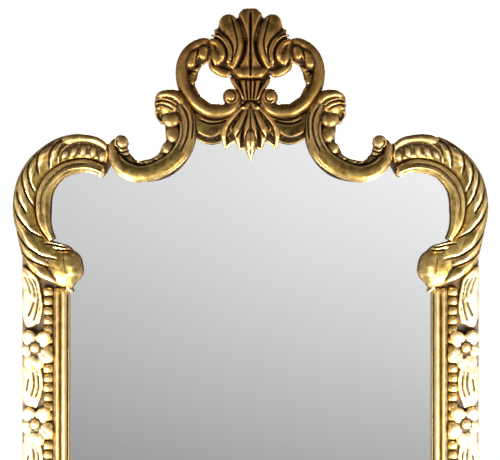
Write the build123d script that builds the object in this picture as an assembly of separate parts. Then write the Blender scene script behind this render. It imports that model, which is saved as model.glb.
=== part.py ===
"""Cheval floor mirror: a carved and gilded rococo mirror leaf that swings between two posts of a low trestle stand.

Frame: X to the right, Y towards the back (the leaf faces -Y), Z up, millimetres.
The origin is on the floor, under the middle of the stand.
"""
import os
from math import asin, cos, radians, sin

from build123d import *

os.makedirs("parts", exist_ok=True)

# ---- driving dimensions -------------------------------------------------------------------------
TOTAL_H = 1860.0            # floor to the tip of the crest shell
LEAF_X = 366.0              # half width of the carcass
SIGHT_X = 291.0             # half width of the visible glass between the stiles
CARC_F, CARC_B = -13.0, 11.0  # front and back faces of the carcass boards
GLASS_T, BOARD_T = 5.0, 6.0   # mirror plate, backing board
GLASS_X, GLASS_Z0, GLASS_Z1 = 333.0, 208.0, 1670.0
LIP_X = 297.0               # half width between the carcass lips
RAIL_Z0, RAIL_LIP, SIGHT_Z = 176.0, 244.0, 250.0
SHOULDER = (-264.8, 1540.0)  # centre of the left shoulder scroll
R_SIGHT, R_LIP, R_SHOULDER = 58.4, 80.0, 118.4
CSCROLL = (-165.3, 1657.9)   # centre of the left C-scroll
R_C_IN, R_C_OUT = 53.6, 77.0
CREST = (-58.4, 1748.0)      # centre of the left crest scroll
R_CR_IN, R_CR_OUT = 46.5, 60.5
BEAD_X, BEAD_R = 324.6, 7.4
FLOWER_X, FLOWER_Z, FLOWER_PITCH, FLOWERS = 347.0, 1317.6, 122.4, 8
CORNER_TOP, CORNER_IN = 320.0, 222.0   # how far the bottom corner blocks reach up and inwards
PIVOT_Z = 965.0
POST_IN, POST_OUT, POST_D = 376.0, 412.0, 40.0
POST_Z0, POST_Z1, FINIAL_TOP = 150.0, 1050.0, 1120.0
STRETCH_Z = 108.0
FOOT_Y, PAD_H, PAD_R, PAD_Y = 268.0, 8.0, 14.0, 246.0
SHANK_R, BUSH_IN, BUSH_OUT = 4.0, 4.05, 7.0


# ---- helpers ------------------------------------------------------------------------------------
def slab(face, y_back, thick):
    """A face drawn in (x, z), extruded from y_back towards the viewer."""
    return extrude(Plane.XZ.offset(-y_back) * face, amount=thick)


def poly(*pts):
    return make_face(Polyline(*pts, close=True))


def disc(c, r):
    return Pos(c[0], c[1]) * Circle(r)


def ring_sector(c, r_in, r_out, a0, a1):
    outer, inner = CenterArc(c, r_out, a0, a1 - a0), CenterArc(c, r_in, a0, a1 - a0)
    return make_face([outer, Line(outer @ 1, inner @ 1), inner, Line(inner @ 0, outer @ 0)])


def turned_about_y(face, c, a0, a1):
    """A profile of (radius, y) turned about the line through c that runs front to back."""
    solid = revolve(face, axis=Axis((0, 0, 0), (0, -1, 0)), revolution_arc=a1 - a0)
    return Pos(c[0], 0, c[1]) * Rot(0, -a0, 0) * solid


def tube(c, r_in, r_out, y_edge, y_top, a0, a1, y_back=CARC_F):
    """A rounded moulding bent round c with a flat back, the basic carved C."""
    rim = ThreePointArc((r_out, y_edge), ((r_in + r_out) / 2, y_top), (r_in, y_edge))
    face = make_face([Line((r_in, y_back), (r_out, y_back)), Line((r_out, y_back), (r_out, y_edge)), rim,
                      Line((r_in, y_edge), (r_in, y_back))])
    return turned_about_y(face, c, a0, a1)


def cap_mid(r, h):
    """Half-way point of a spherical cap's section: distance from the axis, height over the rim."""
    ball = (r * r + h * h) / (2 * h)
    half = asin(r / ball) / 2
    return ball * sin(half), h - ball + ball * cos(half)


def dome(c, r, y_edge, y_top, y_back=CARC_F):
    """A round boss with a flat back and a domed front."""
    out, up = cap_mid(r, y_edge - y_top)
    mid = (out, y_edge - up)
    face = make_face([Line((0, y_back), (r, y_back)), Line((r, y_back), (r, y_edge)),
                      ThreePointArc((r, y_edge), mid, (0, y_top)), Line((0, y_top), (0, y_back))])
    return turned_about_y(face, c, 0, 360)


def xcyl(x0, x1, r, y=0.0, z=PIVOT_Z):
    return extrude(Plane.YZ.offset(x0) * Pos(y, z) * Circle(r), amount=x1 - x0)


def ycyl(y0, y1, r, x, z):
    return extrude(Plane.XZ.offset(-y1) * Pos(x, z) * Circle(r), amount=y1 - y0)


def zcyl(z0, z1, r, x, y):
    return extrude(Plane.XY.offset(z0) * Pos(x, y) * Circle(r), amount=z1 - z0)


def block(x0, x1, y0, y1, z0, z1):
    return Pos((x0 + x1) / 2, (y0 + y1) / 2, (z0 + z1) / 2) * Box(abs(x1 - x0), y1 - y0, z1 - z0)


def right(solid):
    return mirror(solid, about=Plane.YZ)


def group(solids):
    return Compound(children=list(solids))


def groove(points, width=2.6, y_back=-60.0, depth=0.0):
    return slab(trace(Polyline(*points), line_width=width), y_back + depth, depth)


parts = {}


def pair(name, solid):
    """The same piece for the left side and, mirrored, for the right side."""
    parts[name + "_left"] = solid
    parts[name + "_right"] = right(solid)


# ---- carcass ------------------------------------------------------------------------------------
def glass_half(grow):
    """Left half of the mirror plate's outline; grow gives the rebate it sits in."""
    s, c = SHOULDER, CSCROLL
    x, z0, z1 = -(GLASS_X + grow), GLASS_Z0 - grow, GLASS_Z1 + grow
    low = poly((x, z0), (0, z0), (0, s[1]), (x, s[1]))
    lobe = disc(s, 90 + grow) & poly((x, s[1] - 1), (-150, s[1] - 1), (-150, 1640), (x, 1640))
    middle = poly((-215, s[1] - 1), (0, s[1] - 1), (0, z1), (c[0], z1))
    return (low + lobe + middle) - disc(c, 66 - grow)


def both(face):
    return face + mirror(face, about=Plane.YZ)


glass_face = both(glass_half(0.0))
rebate_face = both(glass_half(1.0))
parts["mirror_glass"] = slab(glass_face, GLASS_T, GLASS_T)
parts["backing_board"] = slab(glass_face, GLASS_T + BOARD_T, BOARD_T)

stile_section = poly((-LEAF_X, CARC_F), (-LIP_X, CARC_F), (-LIP_X, 0), (-GLASS_X - 1, 0),
                     (-GLASS_X - 1, CARC_B), (-LEAF_X, CARC_B))
stile = extrude(Plane.XY.offset(RAIL_Z0) * stile_section, amount=1470 - RAIL_Z0)
stile += block(-LEAF_X, -325, CARC_F, 0, 1470, SHOULDER[1])
stile += block(-LEAF_X, -GLASS_X - 1, 0, CARC_B, 1470, SHOULDER[1])
stile -= block(-LEAF_X, -LEAF_X + 3, -10, 8, PIVOT_Z - 40, PIVOT_Z + 40)   # mortise of the pivot plate
stile -= xcyl(-LEAF_X, -338, 8.1)                                          # socket of its boss

# screws through the back: (x, z) of the retaining plates and of the joint plates, left half
KEEP_Z = (330.0, 560.0, 790.0, 1130.0, 1350.0)
PLATE_SCREWS = [(-350.0, 192.0), (-350.0, 232.0), (-350.0, 1502.0), (-350.0, 1528.0)]
for z in KEEP_Z:
    stile -= ycyl(CARC_B - 12, CARC_B, 1.6, -345, z)
for x, z in PLATE_SCREWS:
    stile -= ycyl(CARC_B - 12, CARC_B, 1.6, x, z)
for z in (PIVOT_Z - 30, PIVOT_Z + 30):
    stile -= xcyl(-LEAF_X, -LEAF_X + 18, 1.6, -1.0, z)
pair("stile", stile)

rail_front = block(-LIP_X, LIP_X, CARC_F, 0, RAIL_Z0, RAIL_LIP)
bottom_rail = rail_front + block(-GLASS_X - 1, GLASS_X + 1, 0, CARC_B, RAIL_Z0, GLASS_Z0 - 1)
BOTTOM_PLATE_X = (-318.0, -300.0, 300.0, 318.0)
BOTTOM_KEEP_X = (-200.0, 0.0, 200.0)
for x in BOTTOM_PLATE_X + BOTTOM_KEEP_X:
    bottom_rail -= ycyl(CARC_B - 12, CARC_B, 1.6, x, 192)
parts["bottom_rail"] = bottom_rail

shell_plate = poly((-29.6, 1751), (-45.6, 1773.6), (-45.6, 1800.8), (-42.4, 1818.4), (-45.6, 1829.6),
                   (-39.2, 1842.4), (-31.2, 1844.8), (-21.6, 1840.8), (-15.2, 1847.2), (-7.2, 1853.6),
                   (0, 1855), (0, 1746))
rail_half = ring_sector(SHOULDER, 64, 110, 60, 180) + ring_sector(CSCROLL, 56, 75, 197, 372)
rail_half += poly((-100, 1662), (0, 1662), (0, 1700), (-18, 1700), (-40, 1694), (-97, 1694))
rail_half += poly((-9, 1700), (0, 1700), (0, 1747), (-9, 1747))
rail_half += ring_sector(CREST, 50, 58, 70, 325) + shell_plate
rail_half -= disc(CSCROLL, 56)
rail_face = both(rail_half)
top_board = slab(rail_face, 0, -CARC_F) + slab(rail_face - rebate_face, CARC_B, CARC_B)
TOP_PLATE = [(-350.0, 1552.0), (-345.0, 1572.0)]
BLOCK_X = 216.0   # the shoulder blocks are butted to the crest board here
shoulder_block = top_board & block(-400, -BLOCK_X, -20, 20, 1500, 1700)
for x, z in TOP_PLATE:
    shoulder_block -= ycyl(CARC_B - 12, CARC_B, 1.6, x, z)
pair("shoulder_block", shoulder_block)
parts["crest_board"] = top_board & block(-BLOCK_X, BLOCK_X, -20, 20, 1500, 1900)

# ---- crest carving, front pieces first so that the ones behind can be let in around them --------------
arm = poly((-118, 1730.4), (-98, 1707), (-92, 1694), (-88.8, 1662), (-111, 1630), (-116, 1644), (-112.8, 1664.8),
           (-114.4, 1684), (-140, 1669.6), (-150, 1684), (-154.4, 1704.8), (-148, 1720.8), (-140, 1727.2),
           (-128.8, 1730.4))
c_scroll = tube(CSCROLL, R_C_IN, R_C_OUT, -19, -36, 187, 380) + slab(arm, CARC_F, 16)
c_scroll += dome((-132, 1708), 21.6, -24, -38) + dome((-205.6, 1645.6), 10.4, -24, -33)
c_scroll += slab(ring_sector(CSCROLL, 38, 54.5, 205, 345), CARC_F, 9)
crest_petals = poly((-103.2, 1764), (-96.8, 1789.6), (-84, 1799.2), (-68, 1792.8), (-71.2, 1773.6), (-84, 1757.6),
                    (-88.8, 1738.4), (-103.2, 1741.6))
crest_scroll = tube(CREST, R_CR_IN, R_CR_OUT, -20, -34, 82, 335) + slab(crest_petals, CARC_F, 10)
crest_scroll += dome((-31.2, 1717.6), 13.0, -26, -36)
c_scroll -= crest_scroll
shell_half = poly((0, 1748), (-26, 1748), (-33.6, 1753.6), (-45.6, 1766.4), (-60, 1767), (-72, 1778), (-73, 1792),
                  (-63.2, 1820), (-52.8, 1826.4), (-48.8, 1840.8), (-37.6, 1850.4), (-32.8, 1851.2), (-26.4, 1849.6),
                  (-21.6, 1845.6), (-16.8, 1852), (-7.2, 1859.2), (0, TOTAL_H))
shell = slab(both(shell_half), CARC_F, 15)
GROOVES = [[(-20, 1844), (-10.4, 1821.6), (-7.2, 1800.8), (-10.4, 1783.2), (-23.2, 1764)],
           [(-34.4, 1840.8), (-24.8, 1816.8), (-23.2, 1800.8), (-29.6, 1776.8), (-34.4, 1770.4)],
           [(-63.2, 1817.6), (-48.8, 1812), (-39.2, 1802.4), (-34.4, 1784.8)]]
for line in GROOVES:
    cut = slab(trace(Polyline(*line), line_width=3.0), CARC_F - 9, 8)
    shell -= cut
    shell -= right(cut)
shell -= slab(poly((-1.5, 1766), (1.5, 1766), (1.5, 1852), (-1.5, 1852)), CARC_F - 9, 8)
shell += block(-27, 27, -32, CARC_F, 1748.5, 1757)
curl = dome((-55.2, 1784.8), 17.0, -25, -35)
shell += curl
shell += right(curl)
for piece in (crest_scroll, right(crest_scroll)):
    shell -= piece
pendant_half = poly((0, 1746.4), (-17.6, 1746.4), (-17.6, 1744), (-11, 1712.8), (-14, 1706), (-34, 1664),
                    (-40.8, 1636), (-22, 1645.6), (-16.8, 1632.8), (-7.2, 1640), (0, 1616.8))
pendant = slab(both(pendant_half), CARC_F, 17)
for line in ([(-2.4, 1695.2), (-8.8, 1680.8), (-16.8, 1664.8), (-24, 1655)], [(-12.8, 1740), (-6, 1716)]):
    cut = slab(trace(Polyline(*line), line_width=2.4), CARC_F - 12, 8)
    pendant -= cut
    pendant -= right(cut)
for piece in (crest_scroll, right(crest_scroll)):
    pendant -= piece
wing = slab(poly((-88, 1694), (-60, 1690), (-30, 1697), (-12, 1703), (-20, 1680), (-34, 1660), (-45.6, 1645.6),
                 (-61.6, 1642.4), (-74, 1644.6), (-87.2, 1652)), CARC_F, 12)
for piece in (pendant, crest_scroll, c_scroll):
    wing -= piece
pair("c_scroll", c_scroll)
pair("crest_scroll", crest_scroll)
parts["crest_shell"] = shell
parts["crest_pendant"] = pendant
pair("wing_leaf", wing)

# ---- shoulders ------------------------------------------------------------------------------------
tail = poly((-368.8, 1480), (-350, 1500), (-325.6, 1492), (-304.8, 1484), (-288.8, 1476), (-276, 1458.4),
            (-271.2, 1437.6), (-277.6, 1420), (-292, 1412), (-304.8, 1413.6), (-316, 1416.8), (-328.8, 1423.2),
            (-340, 1429.6), (-352.8, 1440.8), (-364, 1452))
shoulder = tube(SHOULDER, R_LIP + 1.2, R_SHOULDER, -20, -33, 66, 222) + slab(tail, CARC_F, 14)
shoulder += dome((-293, 1446), 21.5, -26, -35)
SPIRALS = [[(-304.8, 1647.2), (-320, 1632.8), (-322.4, 1604)], [(-328.8, 1639.2), (-342.4, 1616.8), (-340, 1596)],
           [(-352.8, 1613.6), (-356, 1584.8), (-344.8, 1565.6)], [(-360.8, 1600.8), (-360.8, 1568.8), (-346.4, 1541.6)],
           [(-373.6, 1572), (-368.8, 1552.8), (-357.6, 1532)], [(-380, 1560.8), (-368.8, 1520.8), (-336, 1496)],
           [(-375.2, 1504.8), (-352.8, 1472.8), (-316, 1460)]]
for line in SPIRALS:
    shoulder -= slab(trace(Polyline(*line), line_width=2.6), CARC_F - 12, 12)
shoulder -= c_scroll
shoulder = max(shoulder.solids(), key=lambda s: s.volume)
lip_section = poly((R_SIGHT, CARC_F), (R_LIP, CARC_F), (R_LIP, -18), (70, -24), (60, -18), (R_SIGHT, -16))
shoulder_lip = turned_about_y(lip_section, SHOULDER, 64, 219)
shoulder_lip -= shoulder
pair("shoulder_scroll", shoulder)
pair("shoulder_lip", shoulder_lip)

# ---- straight mouldings, beads, garlands ------------------------------------------------------------
moulding = make_face([
    Line((-315.2, CARC_F), (-315.2, -16)), Line((-315.2, -16), (-313.6, -16)),
    ThreePointArc((-313.6, -16), (-309.6, -22), (-305.6, -16)), Line((-305.6, -16), (-304, -16)),
    ThreePointArc((-304, -16), (-299.2, -24), (-294.4, -16)), Line((-294.4, -16), (-SIGHT_X, -14)),
    Line((-SIGHT_X, -14), (-SIGHT_X, 0)), Line((-SIGHT_X, 0), (-LIP_X, 0)), Line((-LIP_X, 0), (-LIP_X, CARC_F)),
    Line((-LIP_X, CARC_F), (-315.2, CARC_F))])
pair("sight_moulding", extrude(Plane.XY.offset(CORNER_TOP) * moulding, amount=1411 - CORNER_TOP))
bead_face = make_face([Line((-BEAD_R, CARC_F), (BEAD_R, CARC_F)),
                       ThreePointArc((BEAD_R, CARC_F), (0, CARC_F - BEAD_R), (-BEAD_R, CARC_F))])
bead_rod = extrude(Plane.XY.offset(CORNER_TOP) * Pos(-BEAD_X, 0) * bead_face, amount=1412 - CORNER_TOP)
pair("bead_strip", bead_rod)
leaf_shape = [(-366, 0), (-352, 16), (-341, 12), (-336.5, -8), (-337, -30), (-343, -44), (-352, -52), (-366, -40)]
leaves, flowers = [], []
for i in range(FLOWERS):
    z = FLOWER_Z - i * FLOWER_PITCH
    leaves.append(slab(poly(*[(x, z - 43 + dz) for x, dz in leaf_shape]), CARC_F, 8))
    petals = ycyl(CARC_F - 8.2, CARC_F, 13.5, -FLOWER_X, z)
    for k in range(5):
        turn = radians(90 + 72 * k)
        at = (-FLOWER_X + 11.5 * cos(turn), z + 11.5 * sin(turn))
        petals += slab(disc(at, 9.6), CARC_F - 8.2, 7)
    flowers.append(petals + dome((-FLOWER_X, z), 5.5, -29, -32))
top_leaf = poly((-368, 1446), (-353, 1434), (-343, 1420), (-337, 1400), (-334.5, 1382), (-336, 1366), (-341, 1350),
                (-352, 1342), (-366, 1344))
leaves.append(slab(top_leaf, CARC_F, 8) - shoulder)
pair("leaf_garland", group(leaves))
pair("flowers", group(flowers))

across = make_face([
    Line((225.8, CARC_F), (225.8, -16)), Line((225.8, -16), (227.4, -16)),
    ThreePointArc((227.4, -16), (231.4, -22), (235.4, -16)), Line((235.4, -16), (237, -16)),
    ThreePointArc((237, -16), (241.8, -24), (246.6, -16)), Line((246.6, -16), (SIGHT_Z, -14)),
    Line((SIGHT_Z, -14), (SIGHT_Z, 0)), Line((SIGHT_Z, 0), (RAIL_LIP, 0)), Line((RAIL_LIP, 0), (RAIL_LIP, CARC_F)),
    Line((RAIL_LIP, CARC_F), (225.8, CARC_F))])
# this section is drawn in (z, y) and swept along X
lay = Plane(origin=(-CORNER_IN, 0, 0), x_dir=(0, 0, 1), z_dir=(-1, 0, 0))
parts["sight_moulding_bottom"] = extrude(lay * across, amount=-2 * CORNER_IN)
parts["bead_strip_bottom"] = extrude(lay * Pos(216.4, 0) * bead_face, amount=-2 * CORNER_IN)
corner = poly((-LEAF_X, RAIL_Z0), (-CORNER_IN, RAIL_Z0), (-CORNER_IN, SIGHT_Z), (-SIGHT_X, SIGHT_Z),
              (-SIGHT_X, CORNER_TOP), (-LEAF_X, CORNER_TOP))
corner_scroll = slab(corner, CARC_F, 8)
corner_scroll += tube((-292, 250), 38, 62, -27, -37, 118, 332, CARC_F - 8)
corner_scroll += dome((-262, 234), 15, -28, -36, CARC_F - 8) + dome((-312, 284), 13, -28, -36, CARC_F - 8)
pair("corner_scroll", corner_scroll)
cartouche_half = poly((0, 140), (-10, 146), (-17, 158), (-36, 150), (-47, 163), (-66, 168), (-72, 184), (-92, 196),
                      (-96, 214), (-84, 228), (-62, 234), (-46, 246), (-24, 252), (-16, 270), (0, 286))
cartouche = slab(both(cartouche_half), -25, 8) + block(-70, 70, -25, CARC_F, 178, 204)
for k in (-50, -30, -10, 10, 30, 50):
    a = radians(270 + k)
    rib = [(0.0 + 20 * cos(a), 236 + 20 * sin(a)), (70 * cos(a), 236 + 70 * sin(a))]
    cartouche -= slab(trace(Polyline(*rib), line_width=3.0), -29, 8)
parts["bottom_cartouche"] = cartouche + dome((0, 236), 15, -33, -38, -25)

# ---- hardware on the back of the leaf -----------------------------------------------------------------
keeps, keep_screws, plates, plate_screws = [], [], [], []


def screw(x, z, y_head):
    """Pan head with a plain shank, driven from the back."""
    arc = ThreePointArc((3.2, 0), cap_mid(3.2, 2.2), (0, 2.2))
    head = revolve(make_face([Line((0, 0), (3.2, 0)), arc, Line((0, 2.2), (0, 0))]), axis=Axis.Y)
    return Pos(x, y_head, z) * head + ycyl(CARC_B - 11, y_head, 1.5, x, z)


for z in KEEP_Z:
    for side in (-1, 1):
        keep = block(side * 353, side * 317, CARC_B, CARC_B + 1.5, z - 7, z + 7)
        keeps.append(keep - ycyl(CARC_B, CARC_B + 1.5, 1.7, side * 345, z))
        keep_screws.append(screw(side * 345, z, CARC_B + 1.5))
for x in BOTTOM_KEEP_X:
    keep = block(x - 7, x + 7, CARC_B, CARC_B + 1.5, 184, 224)
    keeps.append(keep - ycyl(CARC_B, CARC_B + 1.5, 1.7, x, 192))
    keep_screws.append(screw(x, 192, CARC_B + 1.5))
for side in (-1, 1):
    low = block(side * 360, side * 292, CARC_B, CARC_B + 2, 184, 200)
    low += block(side * 360, side * 340, CARC_B, CARC_B + 2, 184, 244)
    high = block(side * 358, side * 338, CARC_B, CARC_B + 2, 1494, 1580)
    low_holes = [(side * 350, 192), (side * 350, 232), (side * 318, 192), (side * 300, 192)]
    high_holes = [(side * 350, 1502), (side * 350, 1528), (side * 350, 1552), (side * 345, 1572)]
    for x, z in low_holes:
        low -= ycyl(CARC_B, CARC_B + 2, 1.7, x, z)
    for x, z in high_holes:
        high -= ycyl(CARC_B, CARC_B + 2, 1.7, x, z)
    plates += [low, high]
    plate_screws += [screw(x, z, CARC_B + 2) for x, z in low_holes + high_holes]
parts["board_keepers"] = group(keeps)
parts["keeper_screws"] = group(keep_screws)
parts["joint_plates"] = group(plates)
parts["joint_plate_screws"] = group(plate_screws)

# ---- pivots -------------------------------------------------------------------------------------------
pivot_plate = block(-LEAF_X, -LEAF_X + 3, -10, 8, PIVOT_Z - 40, PIVOT_Z + 40) + xcyl(-LEAF_X, -339, 8.0)
pivot_plate -= xcyl(-LEAF_X, -339, BUSH_IN)
for z in (PIVOT_Z - 30, PIVOT_Z + 30):
    pivot_plate -= xcyl(-LEAF_X, -LEAF_X + 3, 1.7, -1.0, z)
pair("pivot_plate", pivot_plate)
edge_screws = []
for side in (-1, 1):
    for z in (PIVOT_Z - 30, PIVOT_Z + 30):
        shank = xcyl(-LEAF_X - 1.6, -LEAF_X + 17, 1.5, -1.0, z) + xcyl(-LEAF_X - 1.6, -LEAF_X, 3.2, -1.0, z)
        edge_screws.append(shank if side < 0 else right(shank))
parts["pivot_plate_screws"] = group(edge_screws)
pair("spacer_collar", xcyl(-375.7, -LEAF_X, 13.0) - xcyl(-375.7, -LEAF_X, 4.4))
pair("thrust_washer", xcyl(-414.8, -412.3, 15.0) - xcyl(-414.8, -412.3, 4.4))
knob_profile = [(-415.1, 0), (-415.1, 11), (-418, 11.5), (-420, 8), (-424, 8), (-430, 15.5), (-438, 18),
                (-446, 15.5), (-452, 8), (-454, 4.5), (-458, 4), (-459.5, 0)]
knob = revolve(poly(*knob_profile), axis=Axis.X)
knob = Pos(0, 0, PIVOT_Z) * knob + xcyl(-415.2, -342, SHANK_R)
pair("knob", knob)

# ---- stand --------------------------------------------------------------------------------------------
mid_x = (POST_IN + POST_OUT) / 2
post = block(-POST_OUT, -POST_IN, -POST_D / 2, POST_D / 2, POST_Z0, POST_Z1)
post = chamfer(post.edges().filter_by(Axis.Z), 5)
for side in (-1, 1):   # a sunk flute down the front and the back, stopped either side of the pivot
    for z0, z1 in ((POST_Z0 + 60, PIVOT_Z - 50),):
        post -= block(-mid_x - 6, -mid_x + 6, side * 20 - 3, side * 20 + 3, z0, z1)
post += block(-POST_OUT - 3, -POST_IN + 2, -23, 23, POST_Z0, POST_Z0 + 30)
post += block(-POST_OUT - 3, -POST_IN + 2, -23, 23, POST_Z1 - 14, POST_Z1)
post += block(-mid_x - 12, -mid_x + 12, -12, 12, POST_Z0 - 26, POST_Z0)
post -= xcyl(-POST_OUT - 3, -POST_IN + 2, BUSH_OUT)
post -= zcyl(POST_Z1 - 22, POST_Z1, 6.1, -mid_x, 0)
pair("post", post)
pair("pivot_bush", xcyl(-POST_OUT, -POST_IN, BUSH_OUT) - xcyl(-POST_OUT, -POST_IN, BUSH_IN))
fin = [(0, POST_Z1), (19, POST_Z1), (19, POST_Z1 + 4), (9, POST_Z1 + 10), (7, POST_Z1 + 15), (15, POST_Z1 + 24),
       (18.5, POST_Z1 + 35), (15, POST_Z1 + 45), (8, POST_Z1 + 53), (6, POST_Z1 + 57), (5, POST_Z1 + 64),
       (0, FINIAL_TOP)]
finial = revolve(Plane.XZ * poly(*fin), axis=Axis.Z)
finial = Pos(-mid_x, 0, 0) * finial + zcyl(POST_Z1 - 21, POST_Z1 + 1, 6.0, -mid_x, 0)
pair("finial", finial)

top_line = Spline((26, POST_Z0), (60, 128), (120, 84), (190, 52), (240, 44), (FOOT_Y, 26))
toe = Polyline((FOOT_Y, 26), (FOOT_Y - 2, 12), (FOOT_Y - 6, PAD_H), (222, PAD_H))
under = Spline((222, PAD_H), (180, 22), (110, 48), (50, 66), (0, 72))
close = Polyline((0, 72), (0, POST_Z0), (26, POST_Z0))
half_foot = make_face([*top_line.edges(), *toe.edges(), *under.edges(), *close.edges()])
foot_half = extrude(Plane.YZ.offset(-POST_OUT) * half_foot, amount=POST_OUT - POST_IN)
foot = foot_half + mirror(foot_half, about=Plane.XZ)
foot -= block(-mid_x - 12.2, -mid_x + 12.2, -12.2, 12.2, POST_Z0 - 26.5, POST_Z0)
foot -= xcyl(-POST_IN - 28, -POST_IN, 9.1, 0, STRETCH_Z)
foot -= xcyl(-POST_OUT, -POST_IN - 28, 3.2, 0, STRETCH_Z)
pads = []
for side in (-1, 1):
    for y in (-PAD_Y, PAD_Y):
        foot_hole = zcyl(PAD_H, PAD_H + 9, 2.1, -mid_x, y)
        if side < 0:
            foot -= foot_hole
        pads.append(zcyl(0, PAD_H, PAD_R, side * mid_x, y) + zcyl(PAD_H, PAD_H + 8, 2.0, side * mid_x, y))
pair("foot", foot)
parts["foot_pads"] = group(pads)

turn = [(-375.8, 0), (-375.8, 15), (-366, 16), (-358, 10), (-340, 10), (-332, 15), (-322, 10), (-200, 13.5),
        (-60, 10), (-48, 15), (-30, 11), (-22, 16.5), (0, 17), (22, 16.5), (30, 11), (48, 15), (60, 10),
        (200, 13.5), (322, 10), (332, 15), (340, 10), (358, 10), (366, 16), (375.8, 15), (375.8, 0)]
stretcher = Pos(0, 0, STRETCH_Z) * revolve(poly(*turn), axis=Axis.X)
stretcher += xcyl(-POST_IN - 27, POST_IN + 27, 9.0, 0, STRETCH_Z)
bolts = []
for side in (-1, 1):
    hole = xcyl(-POST_IN - 27, -POST_IN - 5, 3.1, 0, STRETCH_Z)
    bolt = xcyl(-POST_OUT, -POST_IN - 6, 3.0, 0, STRETCH_Z) + xcyl(-POST_OUT - 5, -POST_OUT, 9.0, 0, STRETCH_Z)
    stretcher -= hole if side < 0 else right(hole)
    bolts.append(bolt if side < 0 else right(bolt))
parts["stretcher"] = stretcher
parts["stretcher_bolts"] = group(bolts)

for name, solid in parts.items():
    export_step(solid, f"parts/{name}.step")
print(len(parts), "parts written")
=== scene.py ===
# %% [markdown]
# # A carved and gilded cheval mirror
# The mirror leaf of a cheval glass swings between two posts. Here the joiner's work (boards, glass, posts,
# hardware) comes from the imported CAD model, and the carver's and gilder's work is done in this lesson.
# Every length is in metres in Blender. The carving is drawn in millimetres on the face of the leaf:
# (x, z) is the place on the face, and "height" is how far the wood stands proud of the boards.

import math
import random

import bmesh
import bpy
import numpy as np
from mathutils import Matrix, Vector


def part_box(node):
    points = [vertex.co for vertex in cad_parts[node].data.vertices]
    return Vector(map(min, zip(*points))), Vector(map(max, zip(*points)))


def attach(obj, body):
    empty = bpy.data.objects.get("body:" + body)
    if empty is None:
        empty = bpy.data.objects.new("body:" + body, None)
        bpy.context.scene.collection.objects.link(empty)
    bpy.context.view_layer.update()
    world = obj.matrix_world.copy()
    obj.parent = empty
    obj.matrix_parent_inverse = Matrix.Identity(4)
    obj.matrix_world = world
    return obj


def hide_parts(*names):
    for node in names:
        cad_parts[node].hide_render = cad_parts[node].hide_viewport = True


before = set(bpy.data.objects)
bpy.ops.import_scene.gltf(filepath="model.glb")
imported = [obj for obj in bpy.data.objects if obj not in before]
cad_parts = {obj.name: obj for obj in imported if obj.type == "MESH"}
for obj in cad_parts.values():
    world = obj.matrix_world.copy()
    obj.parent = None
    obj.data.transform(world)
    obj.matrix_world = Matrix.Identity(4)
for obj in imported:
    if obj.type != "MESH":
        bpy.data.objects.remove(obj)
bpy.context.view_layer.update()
MM = 0.001
FACE_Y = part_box("stile_left")[0][1]          # the front face of the boards
SUNK = -1.5                                  # height of a chip's flat back, in mm, inside the board
LEAF = "mirror_leaf"

# %% [markdown]
# ## The carver's tools
# Carving follows lines that a carver pencils on the board: the two edges of a lobe, a ridge, a vein.
# A smooth curve through a few such points keeps the drawing short. Blender curves could do it, but a
# Catmull-Rom formula in numpy keeps the two edges of a lobe matched point for point.

# %% Smooth lines
def smooth_line(points, steps=7):
    """A smooth curve through the points; works in any number of dimensions."""
    p = np.asarray(points, float)
    if len(p) < 3:
        t = np.linspace(0, 1, steps + 1)[:, None]
        return p[0] * (1 - t) + p[-1] * t
    ends = np.vstack([2 * p[0] - p[1], p, 2 * p[-1] - p[-2]])
    out = []
    for a, b, c, d in zip(ends, ends[1:], ends[2:], ends[3:]):
        for t in np.arange(steps) / steps:
            out.append(0.5 * (2 * b + (c - a) * t + (2 * a - 5 * b + 4 * c - d) * t ** 2
                              + (3 * b - a - 3 * c + d) * t ** 3))
    out.append(p[-1])
    return np.array(out)


def spread(values, count):
    """A few values given along a line, spread evenly over count stations."""
    values = np.atleast_1d(np.asarray(values, float))
    return np.interp(np.linspace(0, 1, count), np.linspace(0, 1, len(values)), values)


# %% [markdown]
# A lobe is the gouge's basic shape: a rounded form between two edge lines, fat in the middle and
# tapering at its ends. It is lofted as a grid over the two edges and closed with a flat back, because
# the voxel remesh that joins the lobes later needs closed shapes.

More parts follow.
